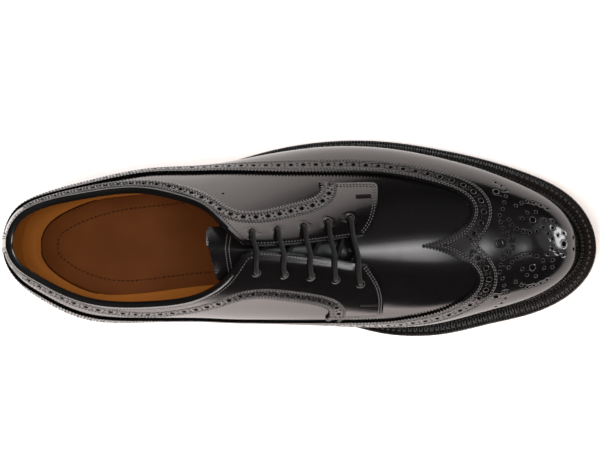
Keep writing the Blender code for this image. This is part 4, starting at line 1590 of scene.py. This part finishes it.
    def strap(self, shop: Workshop) -> None:
        """Make the strap down the back seam with a seam along each edge."""
        edge = float(place_of(0.0016))
        foot = 0.545
        raised = self.face + 0.3 * MM
        shape = bmesh.new()
        for side in Side:
            top, low = side.value * OPENING[0][1], side.value * foot
            outline = np.array([(0, top), (edge, top), (edge, low), (0, low)])
            shape.from_mesh(Leather("strap", outline, self.gap, raised, spacing=1.2 * MM).build())
        bmesh.ops.remove_doubles(shape, verts=shape.verts, dist=WELD)
        inner = [face for face in shape.faces if all(abs(v.co.y) < 1e-6 for v in face.verts)]
        bmesh.ops.delete(shape, geom=inner, context="FACES_ONLY")
        mesh = bpy.data.meshes.new("heel_strap")
        shape.to_mesh(mesh)
        shape.free()
        mesh.shade_smooth()
        mesh.set_sharp_from_angle(angle=math.radians(50))
        shop.place(mesh, "rim", "black_leather", ("backstay",))
        parts = []
        for side in Side:
            for part in (0.55, 0.78):
                line = np.linspace((part * edge, side.value * 0.37),
                                   (part * edge, side.value * (foot - 0.01)), 12)
                parts.append(seam(line, raised, self.stitch))
        sew(shop, "strap_stitching", parts)

    def vamp_and_quarters(self, shop: Workshop) -> None:
        """Make the outer skin and, inside it, the lining."""
        holes = self.eyelet_holes() + [(np.array([spot(*PINHOLE)]), MEDIUM_PUNCH)]
        skin = Leather("vamp_and_quarters", self.opening_outline(), -self.skin, 0.0, holes,
                       spacing=2.6 * MM, lean={Side.OUTER: 0.0, Side.INNER: -0.12})
        shop.place(skin.build(), "black", "black_leather", ("upper",))
        lining = Leather("lining", self.opening_outline(1.8 * MM), -self.wall, -self.skin - 0.05 * MM,
                         self.eyelet_holes(), spacing=3.0 * MM)
        shop.place(lining.build(), "lining", "sock_leather")

    def rolled_edge(self, shop: Workshop) -> None:
        """Carry a rolled profile along the collar: over the panels, round the top and inside."""
        outer, inner = (opening_edge(side) for side in Side)
        outer, inner = (line[share_of(line[:, 0]) < THROAT_TOP] for line in (outer, inner))
        path = np.concatenate((LAST.spread(outer[::-1], 1.5 * MM), LAST.spread(inner, 1.5 * MM)[1:]))
        points, normal = LAST.layer(path, 0.0), LAST.sheen_normal(path)
        run = unit(np.gradient(points, axis=0))
        up = unit(np.cross(run, normal))
        up *= np.sign(up[:, 2:3] + 1e-9)
        high, low = self.face + 0.14 * MM, -self.wall + 0.30 * MM
        middle, half = (high + low) / 2, (high - low) / 2
        arc = np.radians(np.linspace(0, 180, 13))
        across = np.concatenate(([high, high], middle + half * np.cos(arc), [low, low]))
        rise = np.concatenate(([-1.7 * MM, -0.9 * MM], 1.0 * MM * np.sin(arc), [-1.2 * MM, -2.4 * MM]))
        across[0] -= 0.3 * MM
        across[-1] += 0.3 * MM
        taper = smoothstep(np.minimum(np.arange(len(path)), np.arange(len(path))[::-1]) / 10)
        scale = (0.35 + 0.65 * taper)[:, None, None]
        centre = points + middle * normal
        shape = ((across - middle)[None, :, None] * normal[:, None, :]
                 + rise[None, :, None] * up[:, None, :])
        rings = centre[:, None, :] + scale * shape
        shop.place(closed_mesh("rolled_collar_edge", loft(rings), 60), "rim", "black_leather")

    def build(self, shop: Workshop) -> None:
        """Make every piece of the upper."""
        self.vamp_and_quarters(shop)
        self.wing(shop)
        self.facing(shop, Side.OUTER, "facing_outer")
        self.facing(shop, Side.INNER, "facing_inner")
        self.strap(shop)
        self.rolled_edge(shop)


def loft(rings: np.ndarray) -> Shape:
    """Join closed rings of points into a tube with flat ends.

    Args:
        rings: Points of each ring, rings first.

    Returns:
        Points and faces.
    """
    count, size = rings.shape[:2]
    index = np.arange(count * size).reshape(count, size)
    after = np.roll(index, -1, axis=1)
    quads = np.stack((index[:-1], after[:-1], after[1:], index[1:]), -1).reshape(-1, 4)
    return rings.reshape(-1, 3), [quads, index[:1, ::-1], index[-1:]]


@dataclass(frozen=True)
class Tongue:
    """The tongue under the facings, with a pinked free end, pressed down by the lace."""

    top: float = -2.55 * MM
    thickness: float = 1.8 * MM
    pressed: float = 2.9 * MM
    stitch: Stitch = Stitch()

    def sag(self, flat: np.ndarray) -> np.ndarray:
        """How far the tongue lies below its place: most under the lace, nothing at its seam."""
        share = share_of(flat[..., 0])
        down = smoothstep((share - 0.371) / 0.07) * smoothstep((0.665 - share) / 0.035)
        return -self.pressed * (0.25 + 0.75 * down) * smoothstep((0.69 - share) / 0.03)

    def build(self, shop: Workshop) -> None:
        """Make the tongue and its cross seam."""
        outer = smooth_path(TONGUE_OUT, fineness=8)
        inner = on_side(smooth_path(TONGUE_IN, fineness=8), Side.INNER)
        teeth = pinked(np.linspace(inner[0], outer[0], 12), 1.9 * MM, 1.5 * MM)
        outline = np.concatenate((outer, inner[::-1], teeth[1:-1]))
        leather = Leather("tongue_leather", outline, self.top - self.thickness, self.top, sag=self.sag)
        shop.place(leather.build(), "tongue", "black_leather", ("tongue",))
        line = np.linspace(spot(0.402, 0.21), spot(0.404, -0.26), 20)
        parts = [seam(line + (shift, 0.0), self.top, self.stitch, self.sag) for shift in (0.0, 0.004)]
        sew(shop, "tongue_stitching", parts)


@dataclass(frozen=True)
class Lacing:
    """One round cord laced through the eyelets, over the facings and crossing under them."""

    radius: float = 1.30 * MM
    over: float = 1.5 * MM
    under: float = -3.75 * MM
    sway: float = 1.6 * MM
    sides: int = 14

    def bar(self, outer: np.ndarray, inner: np.ndarray) -> np.ndarray:
        """Points of one bar, up through the outer eyelet, across, and down the inner one.

        Args:
            outer: Surface numbers of the outer eyelet.
            inner: Surface numbers of the inner one.

        Returns:
            The points.
        """
        t = np.array((0.0, 0.0, 0.0, 0.035, 0.12, 0.25, 0.40, 0.55, 0.70, 0.84, 0.93, 0.975,
                      1.0, 1.0, 1.0))
        top = self.over + self.radius
        rise = [self.under + 0.3 * MM, -1.2 * MM, 0.9 * MM, top - 0.35 * MM, top + 0.25 * MM,
                top + 0.1 * MM, top]
        height = np.array(rise + [top] + rise[::-1])
        flat = outer + t[:, None] * (inner - outer)
        along = unit(LAST.tangents(flat)[0])
        swing = self.sway * np.sin(math.pi * smoothstep(t)) ** 2 * np.clip(t * 1.6, 0.3, 1.0)
        flat = LAST.nudge(flat, along * swing[:, None])
        return LAST.point(flat) + height[:, None] * LAST.normal(flat)

    def cross(self, inner: np.ndarray, outer: np.ndarray) -> np.ndarray:
        """Points of a crossing under the facings, from an inner eyelet to the next outer one."""
        t = np.array((0.12, 0.3, 0.5, 0.7, 0.88))
        flat = inner + t[:, None] * (outer - inner)
        return LAST.point(flat) + self.under * LAST.normal(flat)

    def build(self, shop: Workshop) -> None:
        """Carry the cord's round profile along its route."""
        outer, inner = eyelet_places(Side.OUTER), eyelet_places(Side.INNER)
        route = []
        for k in range(len(outer)):
            route.append(self.bar(outer[k], inner[k]))
            if k + 1 < len(outer):
                route.append(self.cross(inner[k], outer[k + 1]))
        route = np.concatenate(route)
        steps = np.linalg.norm(np.diff(route, axis=0), axis=1)
        run = np.concatenate(([0.0], np.cumsum(steps ** 0.5)))
        fine = Spline(run, route)(np.linspace(0, run[-1], 2400))
        length = run_along(fine)
        at = np.linspace(0, length[-1], int(length[-1] / (0.6 * MM)))
        mesh = round_cord("lace", blend_at(at, length, fine), self.radius, self.sides)
        shop.place(mesh, "cord", "lace_cord", tuple(f"lace_bar_{n}" for n in range(1, 6)))


def round_cord(name: str, centres: np.ndarray, radius: float, sides: int) -> bpy.types.Mesh:
    """Carry a circle along a line, with its frame turned as little as possible from ring to ring.

    Args:
        name: Name of the mesh.
        centres: Points of the line.
        radius: The circle's radius.
        sides: Points of the circle.

    Returns:
        The mesh, whose map runs along and round the cord in metres and turns.
    """
    run = unit(np.gradient(centres, axis=0))
    side = np.empty_like(run)
    side[0] = unit(np.cross(run[0], (0.3, 0.1, 1.0)))
    for k in range(1, len(run)):
        side[k] = unit(side[k - 1] - (side[k - 1] @ run[k]) * run[k])
    up = np.cross(run, side)
    angles = 2 * math.pi * np.arange(sides) / sides
    rings = (centres[:, None] + radius * (np.cos(angles)[None, :, None] * side[:, None]
                                          + np.sin(angles)[None, :, None] * up[:, None]))
    mesh = new_mesh(name, *loft(rings))
    mesh.shade_smooth()
    corners = corner_points(mesh)
    number = np.arange(len(corners))
    on_side_faces = number < 4 * (len(centres) - 1) * sides
    turn = (corners % sides) / sides
    last = (number // 4) % sides == sides - 1
    turn = np.where(last & (turn == 0) & on_side_faces, 1.0, turn)
    set_run_map(mesh, run_along(centres)[corners // sides], turn)
    return mesh


def even(amount: float) -> Reach:
    """The same reach everywhere."""
    return lambda share, side: np.full_like(share, amount)


def level(height: float) -> Surface:
    """The same height everywhere."""
    return lambda x: np.full_like(x, height)


def above_sole(amount: float) -> Surface:
    """Height above the sole's underside, at each distance ahead."""
    return lambda x: LAST.sole_lift(x) + amount


def above_feather(amount: float) -> Surface:
    """Height above the feather edge, at each distance ahead."""
    return lambda x: LAST.feather_height(x) + amount


@dataclass(frozen=True)
class Bottom:
    """Outsole, welt, heel and insole, whose edges run past the feather edge by a margin."""

    outsole: float = 7.5 * MM
    welt: float = 3.9 * MM
    gap: float = 0.3 * MM
    insole: float = 3.2 * MM
    heel_margin: float = 2.4 * MM
    ball_out: float = 7.4 * MM
    ball_in: float = 8.8 * MM
    toe_margin: float = 10.2 * MM
    margin_out: tuple[float, float] = (0.10, 0.50)
    margin_in: tuple[float, float] = (0.42, 0.68)
    margin_toe: tuple[float, float] = (0.70, 1.00)
    heel_length: float = 66.0 * MM
    lift: float = 6.5 * MM
    heel_taper: float = 1.5 * MM
    breast_hollow: float = 4.0 * MM
    lifts: int = 3
    panel_face: float = 1.6 * MM
    full_shelf: float = 4.4 * MM
    stations: int = 96

    def margin(self, share: np.ndarray, side: Side) -> np.ndarray:
        """How far the sole stands out past the feather edge."""
        start, end = self.margin_out if side is Side.OUTER else self.margin_in
        ball = self.ball_out if side is Side.OUTER else self.ball_in
        to_ball = smoothstep((share - start) / (end - start))
        to_toe = smoothstep((share - self.margin_toe[0]) / (self.margin_toe[1] - self.margin_toe[0]))
        return self.heel_margin + (ball - self.heel_margin) * to_ball + (self.toe_margin - ball) * to_toe

    def inside(self, amount: float) -> Reach:
        """Reach of the sole's edge, drawn in by an amount."""
        return lambda share, side: self.margin(share, side) - amount

    def shelf(self, part: float, amount: float) -> Reach:
        """Reach of a place on the welt's shelf: a part of its width, and a distance past it.

        Args:
            part: From 0 at the upper to 1 at the rim.
            amount: Distance past that place, which shrinks where the shelf is narrow.

        Returns:
            The reach.
        """
        def reach(share: np.ndarray, side: Side) -> np.ndarray:
            """Reach for each share of the length on one side."""
            usable = self.margin(share, side) - self.panel_face
            small = np.minimum(1.0, usable / self.full_shelf)
            return self.panel_face + part * usable + amount * small
        return reach

    def heel_reach(self, height: float, amount: float = 0.0) -> Reach:
        """Reach of the heel's side at a height, drawn in by its taper and by an amount."""
        return self.inside(self.heel_taper * (1 - height / LAST.heel_height) + 0.4 * MM + amount)

    def sock_reach(self, amount: float) -> Reach:
        """Reach of the sock's edge, drawn in by an amount, and further at the heel."""
        return lambda share, side: -(2.7 * MM + amount + 6.4 * MM * (1 - smoothstep(share / 0.20)))

    def edge(self, places: np.ndarray, side: Side, reach: Reach) -> np.ndarray:
        """Plan points past the feather edge by a reach."""
        flat = np.stack((places, np.full_like(places, side.value)), -1)
        distance = np.broadcast_to(reach(share_of(places), side), places.shape)
        return LAST.point(flat)[:, :2] + LAST.normal(flat)[:, :2] * distance[:, None]

    def places(self, end: float = 1.0) -> np.ndarray:
        """Stations from the back seam to an end place."""
        return np.linspace(0, end, max(int(self.stations * end), 12))

    def round(self, places: np.ndarray, reach: Reach) -> np.ndarray:
        """Closed line of plan points round the whole shoe."""
        return np.concatenate((self.edge(places, Side.OUTER, reach),
                               self.edge(places[-2:0:-1], Side.INNER, reach)))

    def sweep(self, profile: list[tuple[Reach, float]]) -> np.ndarray:
        """Rings of points round the shoe, one for each reach and height above the sole's lift."""
        rings = []
        for reach, height in profile:
            plan = self.round(self.places(), reach)
            rings.append(np.column_stack((plan, LAST.sole_lift(plan[:, 0]) + height)))
        return np.array(rings)

    def plate(self, places: np.ndarray, levels: list[tuple[Reach, Surface]], hollow: float = 0.0,
              columns: int = 25) -> Shape:
        """A plate between two faces, whose edge follows levels.

        Each face is a grid of straight lines between the two edges.  The walls join the grids'
        rims through every level, each a reach past the feather and a function for the height.

        Args:
            places: Stations along the shoe.
            levels: Reach and height of each level, from the underside up.
            hollow: How far the front end is drawn back in its middle.
            columns: Points across.

        Returns:
            Points and faces.
        """
        across = np.linspace(0, 1, columns)
        bow = hollow * (1 - (2 * across - 1) ** 2)
        grids = []
        for reach, height in levels:
            outer, inner = self.edge(places, Side.OUTER, reach), self.edge(places, Side.INNER, reach)
            grid = outer[:, None] * (1 - across)[None, :, None] + inner[:, None] * across[None, :, None]
            grid[-1, :, 0] -= bow
            grids.append(np.concatenate((grid, height(grid[..., 0])[..., None]), axis=2))
        rows, size = len(places), len(places) * columns
        index = np.arange(size).reshape(rows, columns)
        quads = np.stack((index[:-1, :-1], index[1:, :-1], index[1:, 1:], index[:-1, 1:]), -1)
        quads = quads.reshape(-1, 4)
        rim = np.concatenate((index[:, 0], index[-1, 1:], index[-2::-1, -1], index[0, -2:0:-1]))
        after = np.roll(rim, -1)
        faces = [quads[:, ::-1], quads + size * (len(levels) - 1)]
        for level in range(len(levels) - 1):
            low, high = size * level, size * (level + 1)
            faces.append(np.stack((rim + low, after + low, after + high, rim + high), -1))
        points = np.concatenate([grid.reshape(-1, 3) for grid in grids])
        used = np.unique(np.concatenate([face.ravel() for face in faces]))
        renumber = np.full(len(points), -1)
        renumber[used] = np.arange(len(used))
        return points[used], [renumber[face] for face in faces]

    def make_outsole(self, shop: Workshop) -> None:
        """Make the outsole: black rounded edge, tan tread with a channel along the rim."""
        thick, inside = self.outsole, self.inside
        levels = [(inside(1.1 * MM), above_sole(0.0)), (inside(0.45 * MM), above_sole(0.15 * MM)),
                  (inside(0.1 * MM), above_sole(0.6 * MM)), (inside(0.0), above_sole(1.4 * MM)),
                  (inside(0.0), above_sole(thick - 1.0 * MM)),
                  (inside(0.2 * MM), above_sole(thick - 0.3 * MM)),
                  (inside(0.7 * MM), above_sole(thick))]
        mesh = closed_mesh("outsole_leather", self.plate(self.places(), levels), 50)
        rim = self.round(self.places(), inside(0.0))
        plan = read_rows(mesh.vertices, "co")[:, :2]
        set_attribute(mesh, "edge_gap", nearest(plan, rim)[0] / MM)
        under = read_rows(mesh.polygons, "normal")[:, 2] < -0.75
        shop.place(mesh, "edge", "outsole_leather", ("outsole",), more=("tread",))
        mesh.polygons.foreach_set("material_index", under.astype(np.int32))

    def make_welt(self, shop: Workshop) -> None:
        """Make the welt with a bead against the upper, a stitched shelf and a wheeled edge."""
        base, top = self.outsole + self.gap, self.outsole + self.gap + self.welt
        # The section: part of the shelf's width, distance past it, height above its top.
        section = ((1, 0.0, -0.9), (1, -0.18, -0.3), (1, -0.6, -0.02), (1, -1.0, -0.05),
                   (1, -1.25, -0.32), (1, -1.5, -0.10), (0, 2.05, -0.10), (0, 1.80, -0.40),
                   (0, 1.55, 0.10), (0, 1.25, 0.75), (0, 0.8, 1.05), (0, 0.3, 0.90),
                   (0, -0.2, 0.30), (0, -0.6, 0.0), (0, -7.0, 0.0))
        profile = [(self.shelf(0, -7.0 * MM), base), (self.shelf(1, 0.0), base)]
        profile += [(self.shelf(part, amount * MM), top + rise * MM) for part, amount, rise in section]
        rings = self.sweep(profile)
        count, size = rings.shape[:2]
        index = np.arange(count * size).reshape(count, size)
        down, right = np.roll(index, -1, axis=0), np.roll(index, -1, axis=1)
        quads = np.stack((index, right, np.roll(down, -1, axis=1), down), -1).reshape(-1, 4)
        mesh = closed_mesh("welt_strip", (rings.reshape(-1, 3), [quads]), 60)
        rim = self.round(np.linspace(0, 1, 1200), self.shelf(0.5, 0.0))
        plan = read_rows(mesh.vertices, "co")[:, :2]
        set_attribute(mesh, "along", run_along(rim)[nearest(plan, rim)[1]] / MM)
        shop.place(mesh, "welt", "welt_leather", ("welt",))
        seams = []
        for part, amount, lift, thread in (
                (0.62, 0.0, -0.06 * MM, Stitch(2.0 * MM, 0.85 * MM, 0.55 * MM, 2.9 * MM)),
                (0.0, 1.95 * MM, -0.30 * MM, Stitch(1.4 * MM, 0.60 * MM, 0.42 * MM, 2.0 * MM))):
            plan = self.round(np.linspace(0, 1, 400), self.shelf(part, amount))
            line = plan[plan[:, 0] > LAST.back_x + 0.4 * self.heel_length]
            seams.append(plan_seam(line, above_sole(top + lift), thread))
        sew(shop, "welt_stitching", seams, "welt_thread", "welt_leather")

    def make_heel(self, shop: Workshop) -> None:
        """Make the stacked heel with its lifts, and the rubber top piece with its nails."""
        places = self.places(float(place_of((self.heel_length - self.heel_margin) / LAST.length)))
        side, head = self.heel_reach, self.lift
        lift = [(side(0, 0.9 * MM), level(0.0)), (side(0, 0.25 * MM), level(0.2 * MM)),
                (side(0), level(0.8 * MM)), (side(head), level(head - 0.4 * MM)),
                (side(head, 0.3 * MM), level(head))]
        mesh = closed_mesh("rubber_top_piece", self.plate(places, lift, self.breast_hollow), 50)
        shop.place(mesh, "rubber", "heel_rubber", ("heel_lift",))
        low, high = self.lift + self.gap, LAST.heel_height - 2 * self.gap
        step = (high - low) / self.lifts
        groove, round_off = 0.12 * MM, 0.15 * MM
        stack = [(side(low, groove), level(low))]
        for foot in low + step * np.arange(self.lifts):
            stack += [(side(foot), level(foot + round_off)),
                      (side(foot + step), level(foot + step - round_off)),
                      (side(foot + step, groove), level(foot + step))]
        stack[-2:] = [(side(high), above_sole(-0.6 * MM)), (side(high, 0.3 * MM), above_sole(-self.gap))]
        mesh = closed_mesh("heel_stack_lifts", self.plate(places, stack, self.breast_hollow), 50)
        shop.place(mesh, "stack", "heel_leather", ("heel_stack",))
        self.make_nails(shop)

    def make_nails(self, shop: Workshop) -> None:
        """Make the nail heads in the top piece: low domes along its rim, from rings of points."""
        places = np.linspace(0.05, 0.27, 5)
        spots = np.concatenate([self.edge(places, side, even(-5.5 * MM)) for side in Side])
        angles = 2 * math.pi * np.arange(12) / 12
        radii = np.array((1.1, 1.1, 0.8, 0.4)) * MM
        depths = np.array((0.3, -0.02, -0.05, -0.06)) * MM
        ring = np.stack((np.cos(angles), np.sin(angles)), -1)
        parts = []
        for centre in spots:
            plan = centre + radii[:, None, None] * ring
            height = np.broadcast_to(depths[:, None, None], plan.shape[:2] + (1,))
            parts.append(loft(np.concatenate((plan, height), -1)))
        mesh = closed_mesh("top_piece_nails", join_parts(parts), 50)
        shop.place(mesh, "nail", "heel_rubber")

    def make_insole(self, shop: Workshop) -> None:
        """Make the insole under its leather sock, with the sock's seam and a black cord along the sock's
        heel edge, painted shade where the sock meets the lining.
        """
        places = self.places()
        places = places[(places > 0.03) & (places < 0.97)]
        rim = -(2.2 * MM + self.gap)
        levels = [(even(rim), above_feather(0.0)), (even(rim), above_feather(self.insole - 0.6 * MM)),
                  (even(rim - 0.6 * MM), above_feather(self.insole))]
        mesh = closed_mesh("insole_board", self.plate(places, levels, columns=31), 60)
        shop.place(mesh, "lining", "sock_leather", ("insole",))
        base = self.insole + 0.05 * MM
        shoulder, top = base + 0.5 * MM, base + 0.9 * MM
        levels = [(self.sock_reach(0.0), above_feather(base)),
                  (self.sock_reach(0.0), above_feather(shoulder)),
                  (self.sock_reach(0.4 * MM), above_feather(top))]
        mesh = closed_mesh("sock", self.plate(places[places < 0.8], levels, columns=31), 60)
        shop.place(mesh, "sock", "sock_leather")
        # Painted shade: a thin black cord along the sock's heel edge stands for the dark line where the
        # sock meets the lining.
        back, reach = np.linspace(0.29, 0.03, 60), self.sock_reach(-0.1 * MM)
        rim = np.concatenate((self.edge(back, Side.OUTER, reach),
                              self.edge(back[-2::-1], Side.INNER, reach)))
        rim = np.column_stack((rim, above_feather(shoulder)(rim[:, 0])))
        shop.place(round_cord("sock_edge_shade_line", rim, 0.32 * MM, 8), "rim", "sock_leather")
        self.make_cove(shop)
        thread = Stitch(1.6 * MM, 0.8 * MM, 0.30 * MM, 2.4 * MM)
        back, reach = np.linspace(float(place_of(0.52)), 0.06, 200), self.sock_reach(8.5 * MM)
        line = np.concatenate((self.edge(back, Side.OUTER, reach),
                               self.edge(back[::-1], Side.INNER, reach)))
        laid = plan_seam(line, above_feather(top), thread)
        sew(shop, "sock_stitching", [laid], "tan_thread", "sock_leather")

    def make_cove(self, shop: Workshop) -> None:
        """Make the soft cove that carries the lining down under the sock, round heel and waist.

        Its profile is a curve of three control points, on the lining's wall, at the insole's rim
        and under the sock, with the same curve a little lower and further out to close it.
        """
        ahead = np.linspace(0.55, 0.0, 70)
        strips = {}
        for side in Side:
            flat = np.stack((ahead, np.full_like(ahead, 0.87 * side.value)), -1)
            wall = LAST.layer(flat, -2.3 * MM)
            plan = [self.edge(ahead, side, even(-reach * MM)) for reach in (2.9, 6.0)]
            lift = [above_feather(self.insole + rise * MM)(plan[0][:, 0]) for rise in (0.9, 0.03)]
            corner, foot = (np.column_stack((xy, z)) for xy, z in zip(plan, lift))
            strips[side] = np.stack((wall, corner, foot), 1)
        control = np.concatenate((strips[Side.OUTER], strips[Side.INNER][-2::-1]))
        t = np.linspace(0, 1, 7)
        weights = np.stack(((1 - t) ** 2, 2 * t * (1 - t), t ** 2))
        upper = np.einsum("rck,ct->rtk", control, weights)
        out = unit((control[:, 0] - control[:, 2]) * (1, 1, 0))
        lower = upper + 0.25 * MM * out[:, None] - np.array((0, 0, 0.3 * MM))
        rings = np.concatenate((upper, lower[:, ::-1]), axis=1)
        shop.place(closed_mesh("lining_cove", loft(rings), 60), "lining", "sock_leather")

    def build(self, shop: Workshop) -> None:
        """Make every piece under the upper."""
        self.make_outsole(shop)
        self.make_welt(shop)
        self.make_heel(shop)
        self.make_insole(shop)


@dataclass(frozen=True)
class Studio:
    """Pale floor, soft lights and the camera of the photograph."""

    target: tuple[float, float, float] = (0.1167, 0.0114, 0.040)
    distance: float = 1.5
    lean_ahead: float = 6.0
    lean_out: float = -2.0
    focal_pixels: float = 2862.6
    sensor: float = 36.0
    floor_size: float = 24.0
    floor_z: float = -0.0004
    room: float = 0.013
    glow: float = 0.10
    glow_from: tuple[float, float, float] = (0.50, 0.25, 0.83)
    floor_colour: Colour = (0.95, 0.925, 0.91)
    sun_strength: float = 2.6
    sun_angle: float = 100.0
    polish_light: Colour = (0.94, 1.0, 1.02)
    fill_light: Colour = (1.0, 0.93, 0.91)
    fill_size: tuple[float, float] = (0.50, 0.20)

    def camera(self) -> None:
        """Place the camera over the shoe, leaning a little towards the toe."""
        back = Vector((math.sin(math.radians(self.lean_ahead)), math.sin(math.radians(self.lean_out)), 0.0))
        back.z = math.sqrt(1 - back.length_squared)
        right = (Vector((1, 0, 0)) - back * back.x).normalized()
        up = back.cross(right)
        data = bpy.data.cameras.new("camera")
        data.sensor_width = self.sensor
        data.lens = self.focal_pixels * self.sensor / PHOTO_WIDTH
        camera = bpy.data.objects.new("camera", data)
        turn = Matrix((right, up, back)).transposed().to_4x4()
        camera.matrix_world = Matrix.Translation(Vector(self.target) + self.distance * back) @ turn
        bpy.context.scene.collection.objects.link(camera)
        bpy.context.scene.camera = camera

    def floor(self) -> None:
        """Lay the pale floor, which ends far out."""
        half = self.floor_size / 2
        corners = np.array(((-half, -half), (half, -half), (half, half), (-half, half)))
        points = np.column_stack((corners, np.full(4, self.floor_z)))
        mesh = new_mesh("floor", points, [np.arange(4)[None]])
        floor = bpy.data.objects.new("floor", mesh)
        made, graph = new_material("pale_floor")
        shader = graph.tree.nodes["Principled BSDF"]
        shader.inputs["Base Color"].default_value = (*self.floor_colour, 1.0)
        shader.inputs["Roughness"].default_value = 0.9
        shader.inputs["Specular IOR Level"].default_value = 0.0
        mesh.materials.append(made)
        bpy.context.scene.collection.objects.link(floor)

    def put_lamp(self, data: bpy.types.Light, *hidden: str) -> bpy.types.Object:
        """Put a lamp into the scene, out of sight of the named kinds of rays, and return it."""
        lamp = bpy.data.objects.new(data.name, data)
        for kind in hidden:
            setattr(lamp, "visible_" + kind, False)
        bpy.context.scene.collection.objects.link(lamp)
        return lamp

    def light(self, name: str, start: tuple[float, float, float], towards: tuple[float, float, float],
              distance: float, size: tuple[float, float], radiance: float, spread: float = 170.0) -> None:
        """Hang a soft light that only polished faces mirror.

        Its power is the brightness wanted times its area, less what a grid over it would hold back.

        Args:
            name: Name of the light.
            start: The point of the shoe that mirrors it.
            towards: Direction of the light from there.
            distance: Distance of the light from there.
            size: Its width and height.
            radiance: How bright it looks, against the white of the picture.
            spread: Angle in degrees that the grid over it lets through.
        """
        data = bpy.data.lights.new(name, "AREA")
        data.shape = "ELLIPSE"
        data.size, data.size_y = size
        half = math.radians(spread) / 2
        data.spread = 2 * half
        area = math.pi / 4 * size[0] * size[1]
        data.energy = radiance * math.pi * area * (1 - half / math.tan(half))
        data.color = self.polish_light
        lamp = self.put_lamp(data, "diffuse", "camera")
        away = Vector(towards).normalized()
        lamp.rotation_mode = "QUATERNION"
        lamp.rotation_quaternion = away.to_track_quat("Z", "Y")
        lamp.location = Vector(start) + distance * away

    def sun(self) -> None:
        """Add the broad light that keeps the floor pale everywhere; leather doesn't mirror it."""
        data = bpy.data.lights.new("broad_sun", "SUN")
        data.energy = self.sun_strength
        data.angle = math.radians(self.sun_angle)
        self.put_lamp(data, "glossy")

    def fill(self, name: str, place: tuple[float, float, float], turn: float, power: float) -> None:
        """Brighten the floor beside the shoe; leather mirrors the floor, not the lamp.

        Args:
            name: Name of the lamp.
            place: Where it hangs.
            turn: Its tilt about the length of the shoe, in degrees.
            power: Its power in watts.
        """
        data = bpy.data.lights.new(name, "AREA")
        data.shape = "RECTANGLE"
        data.size, data.size_y = self.fill_size
        data.energy = power
        data.color = self.fill_light
        lamp = self.put_lamp(data, "glossy", "camera")
        lamp.location = place
        lamp.rotation_euler = (math.radians(turn), 0.0, 0.0)

    def surroundings(self) -> None:
        """Make the dim room that the leather mirrors above the floor."""
        world = bpy.data.worlds.new("room")
        world.use_nodes = True
        background = world.node_tree.nodes["Background"]
        graph = Graph(world.node_tree)
        direction = graph.add("TexCoord").outputs["Generated"]
        towards = graph.add("VectorMath", {0: direction, 1: self.glow_from}, operation="DOT_PRODUCT")
        stops = [(0.0, self.room), (0.62, self.room), (0.90, self.glow), (1.0, self.glow)]
        glow = graph.ramp(towards.outputs["Value"], stops)
        world.node_tree.links.new(glow, background.inputs["Color"])
        bpy.context.scene.world = world
        bpy.context.scene.view_settings.view_transform = "Standard"

    def build(self) -> None:
        """Set up camera, floor, lights and room."""
        self.camera()
        self.floor()
        self.sun()
        self.surroundings()
        self.light("vamp_glow", (0.174, 0.0, 0.07), (0.55, -0.03, 0.83), 0.25, (0.12, 0.06), 8.5, 28.0)
        self.light("vamp_haze", (0.174, 0.0, 0.07), (0.52, 0.02, 0.85), 0.30, (0.24, 0.11), 1.4, 36.0)
        self.light("toe_glow", (0.250, 0.02, 0.055), (0.92, 0.20, 0.20), 0.9, (0.42, 0.42), 14.0)
        self.light("toe_haze", (0.250, 0.02, 0.055), (0.80, 0.25, 0.50), 0.9, (0.90, 0.80), 0.6)
        self.fill("inner_fill", (0.03, -0.38, 0.34), -22.0, 8.0)
        self.fill("outer_fill", (-0.05, 0.36, 0.34), 22.0, 1.4)
        self.fill("floor_fill", (0.117, 0.0, 0.55), 0.0, 2.2)


def main() -> None:
    """Dress the shoe, piece by piece, and set up the studio."""
    logging.basicConfig(level=logging.INFO, format="%(name)s %(message)s")
    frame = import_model()
    LOG.info("frame of %d solids", len(frame["nodes"]))
    shop = Workshop()
    Bottom().build(shop)
    Uppers().build(shop)
    Tongue().build(shop)
    Lacing().build(shop)
    Studio().build()


if __name__ == "__main__":
    main()
